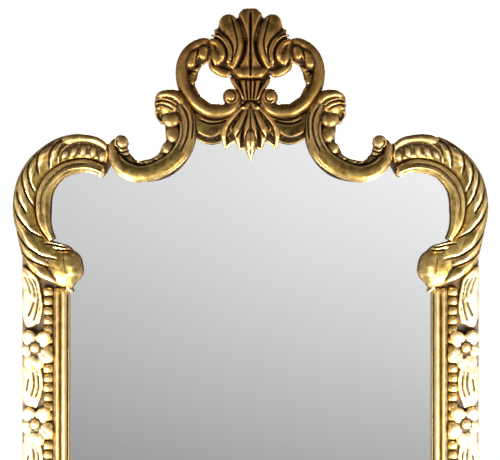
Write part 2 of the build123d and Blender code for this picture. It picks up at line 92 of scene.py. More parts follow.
# %% Lobes, strips, buttons and boards
class Chips:
    """Closed shapes waiting to be joined into one carving: plain lists of points and faces."""

    def __init__(self):
        self.points, self.faces = [], []

    def grid(self, top):
        """Closes a rows x columns grid of (x, z, height) with a flat back just under the board's face."""
        rows, cols = top.shape[:2]
        back = top.copy()
        back[:, :, 2] = SUNK
        start = len(self.points)
        self.points += [tuple(p) for p in top.reshape(-1, 3)] + [tuple(p) for p in back.reshape(-1, 3)]
        size = rows * cols

        def at(r, c, under):
            return start + under * size + r * cols + c
        for r in range(rows - 1):
            for c in range(cols - 1):
                self.faces.append((at(r, c, 0), at(r, c + 1, 0), at(r + 1, c + 1, 0), at(r + 1, c, 0)))
                self.faces.append((at(r, c, 1), at(r + 1, c, 1), at(r + 1, c + 1, 1), at(r, c + 1, 1)))
        rim = ([(r, 0) for r in range(rows)] + [(rows - 1, c) for c in range(1, cols)]
               + [(r, cols - 1) for r in range(rows - 2, -1, -1)] + [(0, c) for c in range(cols - 2, 0,
                                                                                           -1)])
        for (r0, c0), (r1, c1) in zip(rim, rim[1:] + rim[:1]):
            self.faces.append((at(r0, c0, 0), at(r1, c1, 0), at(r1, c1, 1), at(r0, c0, 1)))

    def strip(self, lines, heights):
        """A moulding that passes through several matched lines, each at its own height."""
        lines = [smooth_line(line) for line in lines]
        top = np.zeros((len(lines), len(lines[0]), 3))
        for k, line in enumerate(lines):
            top[k, :, :2] = line
            top[k, :, 2] = spread(heights[k], len(line))
        self.grid(top)

    def lobe(self, edge_a, edge_b, crown, base=2.0, ends=0.12, columns=12, power=1.0):
        """A rounded form between two matched edges; ends is the share of its length that rounds off."""
        a, b = smooth_line(edge_a), smooth_line(edge_b)
        count = len(a)
        along = np.linspace(0, 1, count)
        taper = np.ones(count)
        for side, reach in ((along, ends if np.isscalar(ends) else ends[0]),
                            (1 - along, ends if np.isscalar(ends) else ends[1])):
            if reach > 0:
                k = np.clip(side / reach, 0, 1)
                taper *= np.sqrt(1 - (1 - k) ** 2)
        crowns, bases = spread(crown, count), spread(base, count)
        middle, half = (a + b) / 2, (b - a) / 2
        top = np.zeros((columns + 1, count, 3))
        for k in range(columns + 1):
            turn = math.pi * k / columns
            top[k, :, :2] = middle - half * (math.cos(turn) * (0.15 + 0.85 * taper))[:, None]
            top[k, :, 2] = bases * (0.3 + 0.7 * taper) + crowns * math.sin(turn) ** power * taper
        self.grid(top)

    def button(self, centre, across, up, height, rise, turns=20, rows=10):
        """A round or oval boss: half widths across and up, its middle at height, its dome rise over that."""
        top = np.zeros((rows + 1, turns + 1, 3))
        for r in range(rows + 1):
            tilt = math.pi / 2 * r / rows
            for k in range(turns + 1):
                turn = 2 * math.pi * k / turns
                top[r, k] = (centre[0] + across * math.cos(turn) * math.cos(tilt),
                             centre[1] + up * math.sin(turn) * math.cos(tilt),
                             height + rise * math.sin(tilt))
        self.fan(top[:, :-1])

    def fan(self, rings):
        """Closes rings that shrink to a point in front, with a flat back."""
        rows, cols = rings.shape[:2]
        start = len(self.points)
        back = rings[0].copy()
        back[:, 2] = SUNK
        self.points += [tuple(p) for p in back] + [tuple(p) for p in rings[:-1].reshape(-1, 3)]
        self.points.append(tuple(rings[-1].mean(axis=0)))
        self.faces.append(tuple(start + k for k in range(cols))[::-1])
        for r in range(rows - 1):
            for k in range(cols):
                n = (k + 1) % cols
                self.faces.append((start + r * cols + k, start + r * cols + n,
                                   start + (r + 1) * cols + n, start + (r + 1) * cols + k))
        tip, last = len(self.points) - 1, start + (rows - 1) * cols
        for k in range(cols):
            self.faces.append((last + k, last + (k + 1) % cols, tip))

    def board(self, outline, height):
        """A flat piece sawn to an outline."""
        start, n = len(self.points), len(outline)
        self.points += [(x, z, SUNK) for x, z in outline] + [(x, z, height) for x, z in outline]
        self.faces.append(tuple(start + k for k in range(n))[::-1])
        self.faces.append(tuple(start + n + k for k in range(n)))
        for k in range(n):
            m = (k + 1) % n
            self.faces.append((start + k, start + m, start + n + m, start + n + k))

    def bead(self, points, radius, height):
        """A thin raised strand along a line."""
        line = smooth_line(points)
        step = np.gradient(line, axis=0)
        side = np.column_stack([-step[:, 1], step[:, 0]]) / np.maximum(np.linalg.norm(step, axis=1),
                                                                       1e-6)[:, None]
        radii = spread(radius, len(line))[:, None]
        self.lobe(line - side * radii, line + side * radii, np.max(radius), height, columns=8)

    def moved(self, place):
        """The same chips put somewhere else on the face: place turns (x, z) arrays into new ones."""
        other = Chips()
        p = np.array(self.points)
        q = place(p[:, :2])
        other.points = [tuple(v) for v in np.column_stack([q, p[:, 2]])]
        other.faces = [tuple(f) for f in self.faces]
        return other

    def raised(self, stretch, rise):
        """The same chips standing higher, their backs still in the board."""
        other = Chips()
        other.points = [(x, z, h * stretch + rise if h > SUNK else SUNK) for x, z, h in self.points]
        other.faces = list(self.faces)
        return other

    def __add__(self, more):
        both = Chips()
        both.points = list(self.points) + list(more.points)
        shift = len(self.points)
        both.faces = list(self.faces) + [tuple(i + shift for i in f) for f in more.faces]
        return both


# %% [markdown]
# Grooves and veins are cut last, with a V-tool. Pushing the finished surface in along a line is the
# nearest thing to that: each point moves back by an amount that falls off smoothly with its distance.

# %% The V-tool
def distance_to(points, line):
    """Distance of every (x, z) from a drawn line, and how far along that line it is nearest."""
    best, share = np.full(len(points), 1e9), np.zeros(len(points))
    seg = len(line) - 1
    for k, (a, b) in enumerate(zip(line, line[1:])):
        ab = b - a
        t = np.clip(((points - a) @ ab) / max(ab @ ab, 1e-9), 0, 1)
        d = np.linalg.norm(points - a - t[:, None] * ab, axis=1)
        near = d < best
        best[near], share[near] = d[near], (k + t[near]) / seg
    return best, share


CARVED, DEEPEST = 0.6, 0.4         # mm over the face: what a cut may touch, and the least it leaves


def cut(flat, cuts):
    """Pushes the surface in (or out, for a negative depth) along each (line, width, depth)."""
    for line, width, depth in cuts:
        curve = smooth_line(line, 4)
        lo, hi = curve.min(axis=0) - 4 * width, curve.max(axis=0) + 4 * width
        near = np.all((flat[:, :2] > lo) & (flat[:, :2] < hi), axis=1) & (flat[:, 2] > CARVED)
        if not near.any():
            continue
        d, share = distance_to(flat[near, :2], curve)
        ends = np.clip(np.minimum(share, 1 - share) * 6 + 0.25, 0, 1)
        push = depth * ends * np.exp(-(d / width) ** 2)
        flat[near, 2] = np.maximum(flat[near, 2] - push, DEEPEST)


# %% [markdown]
# ## Gilding that knows its hollows
# The gilding carries painted shade in its hollows, mixed with a dark toning, and a painted highlight
# on its high edges. Blender can find hollows while it renders, but that is lost when the model leaves
# Blender, so each carving stores two numbers of its own at every point: one for the painted shade and
# toning of the hollows, one for the painted highlight of the edges. They come from comparing a point with
# the average of its neighbours, once close by and once over about a centimetre.

# %% Hollows and edges
HOLLOW_NEAR, HOLLOW_FAR = 3.2, 0.9       # how strongly each distance counts, per mm
EDGE_NEAR, EDGE_FAR = 3.0, 0.25


def neighbours_mean(values, pairs, degree):
    out = np.zeros_like(values)
    np.add.at(out, pairs[:, 0], values[pairs[:, 1]])
    np.add.at(out, pairs[:, 1], values[pairs[:, 0]])
    return out / degree


def store_shade_toning_and_highlight(mesh, near_steps=3, far_steps=26, scale=1.0):
    """Writes the two attributes that the gilding reads: painted shade with toning, and painted highlight."""
    n = len(mesh.vertices)
    co = np.empty(n * 3)
    mesh.vertices.foreach_get("co", co)
    co = co.reshape(-1, 3)
    normal = np.empty(n * 3)
    mesh.vertices.foreach_get("normal", normal)
    normal = normal.reshape(-1, 3)
    pairs = np.empty(len(mesh.edges) * 2, dtype=np.int32)
    mesh.edges.foreach_get("vertices", pairs)
    pairs = pairs.reshape(-1, 2)
    degree = np.maximum(np.bincount(pairs.ravel(), minlength=n), 1)[:, None].astype(float)
    soft = co.copy()
    for _ in range(near_steps):
        soft = neighbours_mean(soft, pairs, degree)
    near = np.einsum("ij,ij->i", soft - co, normal) / (MM * scale)
    for _ in range(far_steps):
        soft = neighbours_mean(soft, pairs, degree)
    far = np.einsum("ij,ij->i", soft - co, normal) / (MM * scale)
    # painted shade with toning where a point lies below its neighbours, painted highlight where it stands
    # above them
    hollow = np.clip(near * HOLLOW_NEAR + far * HOLLOW_FAR, 0, 1)[:, None]
    edge = np.clip(-near * EDGE_NEAR - far * EDGE_FAR, 0, 1)[:, None]
    hollow, edge = neighbours_mean(hollow, pairs, degree), neighbours_mean(edge, pairs, degree)
    for name, values in (("hollow", hollow), ("edge", edge)):
        layer = mesh.attributes.get(name) or mesh.attributes.new(name, "FLOAT", "POINT")
        layer.data.foreach_set("value", values.ravel().astype(np.float32))


# %% [markdown]
# ## From chips to one piece of wood
# Joining dozens of lobes with booleans is slow and fragile. A voxel remesh melts every overlapping
# closed shape into one skin, which is how carved wood reads too: one block, no seams. A few rounds of
# smoothing take off the voxel steps, then the V-tool cuts, and the back is planed flat.

# %% Carve
FULL_VOXEL = 1.25                        # mm
VOXEL = FULL_VOXEL


def new_object(name, points, faces):
    mesh = bpy.data.meshes.new(name)
    mesh.from_pydata([tuple(p) for p in points], [], faces)
    mesh.validate()
    obj = bpy.data.objects.new(name, mesh)
    bpy.context.scene.collection.objects.link(obj)
    return obj


def modify(obj, kind, **settings):
    """Adds one modifier, sets it up and applies it straight away."""
    mod = obj.modifiers.new(kind, kind)
    for key, value in settings.items():
        setattr(mod, key, value)
    graph = bpy.context.evaluated_depsgraph_get()
    done = bpy.data.meshes.new_from_object(obj.evaluated_get(graph))
    obj.modifiers.remove(mod)
    old, obj.data = obj.data, done
    bpy.data.meshes.remove(old)


def carve(name, chips, cuts=(), lift=0.0, voxel=None, soften=4, side=1, body=LEAF, material=None, shade_and_highlight_masks=True,
          replaces=(), slot="gilt_carving"):
    """Joins chips into one carving, cuts its grooves and puts it on the face; side=-1 is its mirror image."""
    size = voxel or VOXEL
    obj = new_object(name, [(x, -h, z) for x, z, h in chips.points], chips.faces)
    modify(obj, "REMESH", mode="VOXEL", voxel_size=size, use_smooth_shade=True)
    modify(obj, "SMOOTH", factor=0.5, iterations=soften)
    mesh = obj.data
    n = len(mesh.vertices)
    co = np.empty(n * 3)
    mesh.vertices.foreach_get("co", co)
    co = co.reshape(-1, 3)
    flat = np.column_stack([co[:, 0], co[:, 2], -co[:, 1]])
    cut(flat, cuts)
    flat[:, 2] = np.maximum(flat[:, 2], 0.0) + lift
    placed = np.column_stack([flat[:, 0] * side * MM, FACE_Y - flat[:, 2] * MM, flat[:, 1] * MM])
    mesh.vertices.foreach_set("co", placed.ravel())
    if side < 0:
        mesh.flip_normals()
    mesh.update()
    # the masks that the gilding uses for painted shade and painted highlight
    if shade_and_highlight_masks:
        store_shade_toning_and_highlight(mesh, scale=size / FULL_VOXEL)
    mesh.materials.clear()
    mesh.materials.append(material or gilding)
    if replaces:
        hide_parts(*replaces)
    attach(obj, body)
    print(name, n, "points", len(mesh.polygons), "faces")
    return obj


def carve_pair(name, chips, cuts=(), **more):
    """The left piece, and its mirror image for the right."""
    for side, word in ((1, "left"), (-1, "right")):
        carve(f"carved_{name}_{word}", chips, cuts, side=side, replaces=(f"{name}_{word}",), **more)


# %% [markdown]
# ## Finishes
# Gold leaf over gesso is metal, but not a mirror: brush marks, tiny cracks and toning spread its shine.
# The colour comes from a few noises and the two stored numbers, which paint shade and highlight
# into it. Uniform numbers are set straight on the shader's sockets, so that they survive the export.

# %% Material helpers
def material(name, metallic=0.0, roughness=0.5, **sockets):
    mat = bpy.data.materials.new(name)
    mat.use_nodes = True
    tree = mat.node_tree
    shader = tree.nodes["Principled BSDF"]
    shader.inputs["Metallic"].default_value = metallic
    shader.inputs["Roughness"].default_value = roughness
    for key, value in sockets.items():
        shader.inputs[key.replace("_", " ")].default_value = value
    return mat, tree, shader


def node(tree, kind, **inputs):
    made = tree.nodes.new(kind)
    for key, value in inputs.items():
        made.inputs[key.replace("_", " ")].default_value = value
    return made


def noise(tree, scale, detail=4.0, stretch=(1, 1, 1)):
    """A noise on the piece's own coordinates; stretch draws it out along an axis."""
    place, mapping = tree.nodes.new("ShaderNodeTexCoord"), tree.nodes.new("ShaderNodeMapping")
    mapping.inputs["Scale"].default_value = stretch
    tree.links.new(place.outputs["Object"], mapping.inputs["Vector"])
    made = node(tree, "ShaderNodeTexNoise", Scale=scale, Detail=detail)
    tree.links.new(mapping.outputs["Vector"], made.inputs["Vector"])
    return made.outputs["Fac"]


def ramp(tree, source, stops):
    made = tree.nodes.new("ShaderNodeValToRGB")
    elements = made.color_ramp.elements
    for k, (at, colour) in enumerate(stops):
        spot = elements[k] if k < 2 else elements.new(at)
        spot.position, spot.color = at, (*colour, 1) if len(colour) == 3 else colour
    tree.links.new(source, made.inputs["Fac"])
    return made.outputs["Color"]


def mix(tree, factor, a, b, blend="MIX"):
    made = tree.nodes.new("ShaderNodeMix")
    made.data_type, made.blend_type = "RGBA", blend
    for socket, value in ((made.inputs["Factor"], factor), (made.inputs[6], a), (made.inputs[7], b)):
        if isinstance(value, bpy.types.NodeSocket):
            tree.links.new(value, socket)
        else:
            socket.default_value = value if not isinstance(value, tuple) or len(value) == 4 else (*value, 1)
    return made.outputs[2]


def span(tree, source, low, high, to_low=0.0, to_high=1.0):
    made = node(tree, "ShaderNodeMapRange")
    for key, value in (("From Min", low), ("From Max", high), ("To Min", to_low), ("To Max", to_high)):
        made.inputs[key].default_value = value
    tree.links.new(source, made.inputs["Value"])
    return made.outputs["Result"]


def maths(tree, kind, a, b=0.0):
    made = tree.nodes.new("ShaderNodeMath")
    made.operation = kind
    for socket, value in zip(made.inputs, (a, b)):
        if isinstance(value, bpy.types.NodeSocket):
            tree.links.new(value, socket)
        else:
            socket.default_value = value
    return made.outputs[0]


def bump(tree, shader, layers):
    """Stacks bumps: each is (height source, strength, depth in metres)."""
    last = None
    for source, strength, depth in layers:
        made = node(tree, "ShaderNodeBump", Strength=strength, Distance=depth)
        tree.links.new(source, made.inputs["Height"])
        if last:
            tree.links.new(last, made.inputs["Normal"])
        last = made.outputs["Normal"]
    tree.links.new(last, shader.inputs["Normal"])


# %% [markdown]
# The leaf itself varies from olive-green gold to warm orange gold. The hollows get painted shade mixed
# with toning, which also dulls them, because wax and dirt are not metal, so the hollow lowers Metallic and
# raises Roughness. The high edges get a painted highlight. Tiny specks of dark bole show through, and tiny
# painted glints stand for light catching the leaf. The crest is painted darker than the rest, as painted
# shade.

# %% Gilding
LEAF_TONES = ((0.19, 0.115, 0.028), (0.43, 0.285, 0.078), (0.70, 0.50, 0.18))
# the second colour is the crest's painted shade; the last is the painted shade, with toning, of the hollows
OLIVE, CREST_SHADE_COLOUR, BOLE, SHADE_AND_DIRT = (0.34, 0.29, 0.055), (0.18, 0.070, 0.011), (0.10, 0.045, 0.015), (0.028, 0.012,
                                                                                             0.004)
HIGHLIGHT_LOW, HIGHLIGHT_HIGH = (0.90, 0.68, 0.34), (0.72, 0.40, 0.12)       # painted highlight on the edges, low down and at the crest
CREST_LOW, CREST_HIGH = 1.58, 1.76       # the crest gets painted shade, and this is where the change runs


def make_gilding(name, leaf=LEAF_TONES, hollows=True, shine=0.30, crest_shade=0.68, highlight_strength=0.85, olive=0.4):
    mat, tree, shader = material(name, metallic=0.9, roughness=0.4)
    shader.inputs["Specular IOR Level"].default_value = 0.25
    broad, mottle, fine = noise(tree, 16, 3), noise(tree, 95, 5), noise(tree, 620, 3)
    tone = ramp(tree, maths(tree, "ADD", maths(tree, "MULTIPLY", broad, 0.5),
                            maths(tree, "MULTIPLY", mottle, 0.5)),
                [(0.37, leaf[0]), (0.63, leaf[2]), (0.5, leaf[1])])
    colour = mix(tree, span(tree, noise(tree, 30, 2), 0.5, 0.7, 0.0, olive), tone, OLIVE)
    rough = span(tree, mottle, 0.3, 0.7, shine, shine + 0.12)
    if hollows:
        place, axes = tree.nodes.new("ShaderNodeTexCoord"), tree.nodes.new("ShaderNodeSeparateXYZ")
        tree.links.new(place.outputs["Object"], axes.inputs["Vector"])
        # painted shade: the gilding darkens from the foot of the crest to its top
        colour = mix(tree, span(tree, axes.outputs["Z"], CREST_LOW, CREST_HIGH, 0.0, crest_shade), colour, CREST_SHADE_COLOUR)
        edge, hollow = tree.nodes.new("ShaderNodeAttribute"), tree.nodes.new("ShaderNodeAttribute")
        edge.attribute_name, hollow.attribute_name = "edge", "hollow"
        # painted highlight on the high edges, paler low down and more orange at the crest
        highlight_colour = mix(tree, span(tree, axes.outputs["Z"], CREST_LOW, 1.74), HIGHLIGHT_LOW, HIGHLIGHT_HIGH)
        highlighted = mix(tree, span(tree, edge.outputs["Fac"], 0.30, 0.9, 0.0, highlight_strength), colour, highlight_colour)
        # painted shade with toning in the hollows: darker, less metallic and rougher
        deep = maths(tree, "ADD", hollow.outputs["Fac"], maths(tree, "MULTIPLY",
                     maths(tree, "SUBTRACT", mottle, 0.5), 0.35))
        shade_and_toning = span(tree, deep, 0.08, 0.60, 0.0, 0.97)
        colour = mix(tree, shade_and_toning, highlighted, SHADE_AND_DIRT)
        tree.links.new(span(tree, shade_and_toning, 0.0, 1.0, 0.9, 0.45), shader.inputs["Metallic"])
        rough = maths(tree, "ADD", rough, maths(tree, "MULTIPLY", shade_and_toning, 0.25))
    specks = span(tree, noise(tree, 700, 2), 0.62, 0.70, 0.0, 0.55)
    # painted highlight: tiny light glints in the colour
    glints = span(tree, noise(tree, 480, 4), 0.63, 0.69, 0.0, 0.45)
    specked_and_glinting = mix(tree, glints, mix(tree, specks, colour, BOLE), (0.95, 0.80, 0.50))
    tree.links.new(specked_and_glinting, shader.inputs["Base Color"])
    tree.links.new(rough, shader.inputs["Roughness"])
    bump(tree, shader, [(broad, 0.12, 0.003), (mottle, 0.10, 0.0010), (fine, 0.10, 0.0003)])
    return mat


gilding = make_gilding("antique_gilding")
stand_gilding = make_gilding("stand_gilding", ((0.31, 0.195, 0.055), (0.40, 0.26, 0.075),
                                               (0.50, 0.34, 0.11)),
                             hollows=False, olive=0.15)
moulding_gilding = make_gilding("moulding_gilding", ((0.20, 0.13, 0.045), (0.39, 0.27, 0.10),
                                                     (0.60, 0.45, 0.21)), highlight_strength=0.7)
# a darker copy of the gilding: painted shade for the wings under the shell
toned_gilding = make_gilding("toned_gilding", ((0.05, 0.026, 0.007), (0.10, 0.055, 0.016),
                                               (0.17, 0.10, 0.03)), shine=0.42,
                             crest_shade=0.0, highlight_strength=0.35)
# a paler copy of the gilding: painted light for the brightly lit stiles
rubbed_gilding = make_gilding("rubbed_gilding", ((0.42, 0.32, 0.16), (0.77, 0.63, 0.38),
                                                 (0.96, 0.86, 0.65)), shine=0.36)

# %% [markdown]
# ## The shoulder scroll
# Each upper corner is one big scroll that turns about the corner of the glass. Its back is carved with
# slanting gadroons, like the strands of a rope, its upper end holds a panel of short flutes, and its
# lower end rolls up into a smooth terminal over the straight moulding.

# %% Shoulder scroll
# the lines between the strands, from the flutes round to the terminal
STRANDS = [[(-284, 1652), (-299, 1644), (-306, 1633), (-308, 1622), (-309, 1610)],
           [(-303, 1649), (-313, 1641), (-319, 1631), (-322, 1618), (-322, 1604)],
           [(-327, 1639), (-335, 1631), (-340, 1622), (-342, 1609), (-339, 1594)],
           [(-351, 1618), (-355, 1607), (-356, 1594), (-353, 1580), (-345, 1564)],
           [(-361, 1606), (-365, 1594), (-364, 1578), (-358, 1559), (-346, 1540)],
           [(-374, 1582), (-374, 1567), (-370, 1550), (-359, 1532), (-345, 1521)],
           [(-381, 1556), (-378, 1540), (-369, 1521), (-353, 1503), (-332, 1492)],
           [(-378, 1511), (-367, 1490), (-353, 1474), (-334, 1463), (-310, 1458)],
           [(-370, 1476), (-359, 1462), (-345, 1453), (-329, 1446), (-305, 1442)],
           [(-362, 1452), (-350, 1440), (-334, 1428), (-314, 1420), (-295, 1415)]]


def shoulder_chips():
    c = Chips()
    outer = [(-228, 1642), (-244, 1654), (-273, 1659), (-305, 1654), (-334, 1638), (-358, 1615),
             (-374, 1586), (-381, 1553), (-380, 1524), (-374, 1497), (-369, 1473), (-362, 1452),
             (-340, 1430)]
    inner = [(-231, 1612), (-247, 1616), (-270, 1618), (-295, 1614), (-316, 1604), (-332, 1588),
             (-342, 1567), (-346, 1545), (-343, 1522), (-335, 1503), (-324, 1490), (-308, 1484),
             (-292, 1478)]
    c.lobe(outer, inner, crown=[9, 9, 9, 10, 11, 12, 12, 12, 12], base=3, ends=(0.0, 0.05))
    rim_a = [(-226, 1642), (-244, 1654), (-273, 1659), (-295, 1656), (-310, 1649)]
    rim_b = [(-230, 1630), (-246, 1642), (-270, 1645), (-287, 1642), (-302, 1633)]
    c.lobe(rim_a, rim_b, crown=[9, 8, 8, 7, 5], base=[6, 8, 9, 9, 8], ends=(0.05, 0.3))
    c.bead([(-230, 1617), (-231, 1633), (-246, 1643), (-266, 1647), (-286, 1644), (-300, 1634),
            (-306, 1622), (-307, 1610)], 1.3, 12.5)
    flute_feet = [(-299, 1617), (-285, 1620), (-269, 1621), (-253, 1619), (-238, 1613)]
    flute_tops = [(-295, 1635), (-280, 1641), (-266, 1644), (-250, 1642), (-236, 1635)]
    for (x0, z0), (x1, z1) in zip(flute_feet, flute_tops):
        mid = ((x0 + x1) / 2, (z0 + z1) / 2)
        line = np.array([(x0, z0), mid, (x1, z1)])
        half = (5.6, 0)
        c.lobe(line - half, line + half, crown=[5, 7, 5], base=8, ends=0.35, columns=10)
    for a, b in zip(STRANDS, STRANDS[1:]):
        c.lobe(a, b, crown=[3, 6.5, 8, 6.5, 2.5], base=[2, 9, 11.5, 10, 4], ends=(0.12, 0.25), power=0.8)
    c.lobe([(-329, 1489), (-311, 1479), (-295, 1474), (-278, 1470)],
           [(-334, 1426), (-314, 1418), (-298, 1413), (-281, 1412)], crown=[6, 11, 13, 12],
           base=[4, 5, 5, 4], ends=(0.2, 0.12))
    c.lobe([(-305, 1474), (-303, 1462), (-302, 1447), (-302, 1433), (-303, 1418)],
           [(-287, 1477), (-275, 1463), (-270, 1447), (-270, 1433), (-279, 1415)],
           crown=[8, 15, 18, 16, 8], base=[4, 5, 5, 5, 4], ends=0.3)
    c.lobe([(-326, 1488), (-311, 1484), (-298, 1481), (-287, 1476)],
           [(-326, 1479), (-311, 1474), (-298, 1471), (-286, 1470)], crown=5, base=9, ends=0.3)
    c.bead([(-302, 1420), (-295, 1414), (-289, 1409), (-285, 1405)], [2.2, 2.6, 2.8, 2.2], 5)
    return c


SHOULDER_CUTS = [([(-329, 1483), (-314, 1481), (-302, 1478), (-292, 1477)], 1.5, 5),
                 ([(-310, 1473), (-300, 1472), (-289, 1473)], 1.6, 5)]
CUT_STRANDS = {1: 1.5, 2: 1.5, 3: 1.5, 4: 1.5, 6: 1.6, 7: 1.5}     # the strand, and the width of its cut
SHOULDER_CUTS += [(STRANDS[k], width, 4) for k, width in CUT_STRANDS.items()]
SHOULDER_CUTS += [([(-374, 1569), (-370, 1550), (-359, 1532)], 1.4, 3.5),
                  ([(-370, 1476), (-359, 1462), (-345, 1453), (-324, 1446)], 1.4, 3.5)]
carve_pair("shoulder_scroll", shoulder_chips(), SHOULDER_CUTS)

# %% [markdown]
# Inside the scroll a two-faced lip frames the glass. It is a strip through five lines: down at its outer
# edge, up to the rim, along the ridge between the two faces, and over the edge at the glass. It starts
# from a small round end.

# %% Shoulder lip
lip = Chips()
lip.strip([[(-234, 1607), (-254, 1616), (-273, 1618), (-302, 1611), (-326, 1594), (-340, 1570),
            (-344, 1543), (-339, 1513), (-322, 1487)],
           [(-234, 1606), (-254, 1615), (-273, 1617), (-301, 1610), (-325, 1593), (-339, 1570),
            (-343, 1543), (-338, 1513), (-322, 1487)],
           [(-238, 1596), (-252, 1602), (-272, 1604), (-295, 1599), (-314, 1584), (-326, 1566),
            (-329, 1542), (-326, 1513), (-317, 1490)],
           [(-239, 1590), (-253, 1596), (-270, 1598), (-297, 1591), (-311, 1578), (-319, 1562),
            (-322, 1538), (-321, 1511), (-314, 1490)],
           [(-240, 1589), (-253, 1596), (-270, 1598), (-296, 1591), (-311, 1577), (-319, 1562),
            (-321, 1538), (-321, 1511), (-314, 1489)]],
          [[6], [11], [14], [7], [-1]])
lip.button((-240, 1598), 6.5, 8.2, 6, 7)
carve_pair("shoulder_lip", lip, [([(-252, 1609), (-273, 1611), (-298, 1605), (-319, 1588), (-332, 1567),
                                   (-336, 1543), (-332, 1513)], 2.2, 1.2)])

# %% [markdown]
# ## The big C-scroll
# Between shoulder and crest runs a C-shaped tube with a curled button at one end and a bold cap at the
# other. Small leaves fill its inside. The tube is one lobe between its two edge lines; the leaves are
# lobes too, standing lower, so that the tube throws them into shadow.

# %% C-scroll
def c_scroll_chips():
    c = Chips()
    c.lobe([(-223, 1651), (-228, 1636), (-226, 1617), (-218, 1601), (-206, 1590), (-191, 1583),
            (-175, 1582), (-153, 1585), (-130, 1595), (-111, 1609), (-97, 1626), (-89, 1647), (-88, 1666),
            (-90, 1687), (-98, 1708), (-108, 1724), (-119, 1730)],
           [(-214, 1652), (-216, 1639), (-212, 1626), (-206, 1618), (-198, 1612), (-186, 1608),
            (-174, 1606), (-158, 1610), (-142, 1618), (-129, 1628), (-118, 1641), (-113, 1655),
            (-112, 1670), (-114, 1686), (-119, 1697), (-127, 1703), (-134, 1708)],
           crown=[8, 10, 9, 8, 8, 8, 9, 11, 12, 12, 11, 8], base=[8, 10, 13, 15, 15, 15, 14, 11, 10, 9, 9,
                                                                  9], ends=(0.06, 0.02))
    c.bead([(-211, 1626), (-205, 1618), (-197, 1612), (-186, 1607), (-174, 1605), (-158, 1609),
            (-142, 1617), (-128, 1627), (-118, 1641), (-112, 1655), (-111, 1670), (-113, 1686)], 1.5, 18.5)
    c.button((-206, 1646), 11.6, 11.2, 15, 7)
    c.lobe([(-216, 1638), (-212, 1629), (-204, 1619), (-194, 1611)],
           [(-195, 1639), (-194, 1631), (-190, 1623), (-183, 1616)],
           crown=[7, 7, 6, 4], base=[7, 6, 4, 2], ends=(0.15, 0.2))
    c.lobe([(-206, 1620), (-188, 1608), (-174, 1606), (-158, 1610), (-142, 1618), (-129, 1629),
            (-118, 1644), (-113, 1663)],
           [(-193, 1628), (-186, 1619), (-175, 1616), (-161, 1619), (-148, 1626), (-143, 1636),
            (-134, 1652), (-138, 1668)], crown=5, base=7)
    for a, b in (([(-191, 1628), (-186, 1620), (-177, 1615)], [(-183, 1612), (-175, 1609), (-166, 1609)]),
                 ([(-175, 1617), (-166, 1618), (-158, 1620)], [(-167, 1607), (-158, 1609), (-148, 1615)]),
                 ([(-159, 1619), (-151, 1623), (-145, 1631)], [(-148, 1614), (-140, 1618), (-132, 1626)])):
        c.lobe(a, b, crown=6, base=8, ends=0.3)
    c.button((-127, 1682), 14.5, 13.5, 12, 8.5)
    c.button((-123, 1658), 12.5, 13.5, 11, 7)
    c.button((-131, 1636), 11.5, 10.5, 10, 6)
    c.board([(-137, 1694), (-119, 1700), (-111, 1684), (-110, 1665), (-113, 1649), (-126, 1636),
             (-135, 1649), (-137, 1668)], 9)
    c.button((-131, 1707), 23, 23.2, 6, 17)
    c.lobe([(-154, 1719), (-146, 1726), (-135, 1730), (-121, 1730), (-108, 1724)],
           [(-152, 1711), (-142, 1714), (-129, 1713), (-116, 1706), (-103, 1695)],
           crown=[8, 13, 15, 15, 12], base=[6, 9, 10, 10, 8], ends=(0.2, 0.05))
    c.bead([(-153, 1706), (-142, 1708), (-130, 1706), (-121, 1698)], 1.5, 20)
    c.bead([(-152, 1698), (-142, 1701), (-134, 1698), (-129, 1694)], 1.6, 17)
    c.lobe([(-154, 1697), (-152, 1687), (-147, 1679), (-142, 1672)],
           [(-145, 1697), (-143, 1690), (-140, 1684), (-137, 1678)], crown=5, base=6)
    return c


C_CUTS = [([(-110, 1705), (-102, 1690), (-99, 1673), (-102, 1652), (-111, 1631)], 1.7, 4.5),
          ([(-96, 1698), (-92, 1682), (-92, 1666), (-94, 1650)], 1.5, 4),
          ([(-215, 1633), (-206, 1629), (-193, 1633)], 1.1, 3),
          ([(-210, 1625), (-202, 1622), (-190, 1626)], 1.1, 3),
          ([(-153, 1709), (-142, 1712), (-129, 1709), (-118, 1702)], 1.1, 3.5),
          ([(-153, 1702), (-142, 1705), (-131, 1702), (-124, 1697)], 1.1, 3.5),
          ([(-148, 1692), (-147, 1686), (-142, 1680)], 1.8, 5),
          ([(-212, 1650), (-214, 1644), (-211, 1638), (-204, 1635), (-198, 1638)], 1.2, 4)]
c_chips = c_scroll_chips()
carve_pair("c_scroll", c_chips, C_CUTS)

# %% [markdown]
# ## The crest
# Two smaller scrolls stand back to back and carry the shell. Their lower ends roll into round knobs.

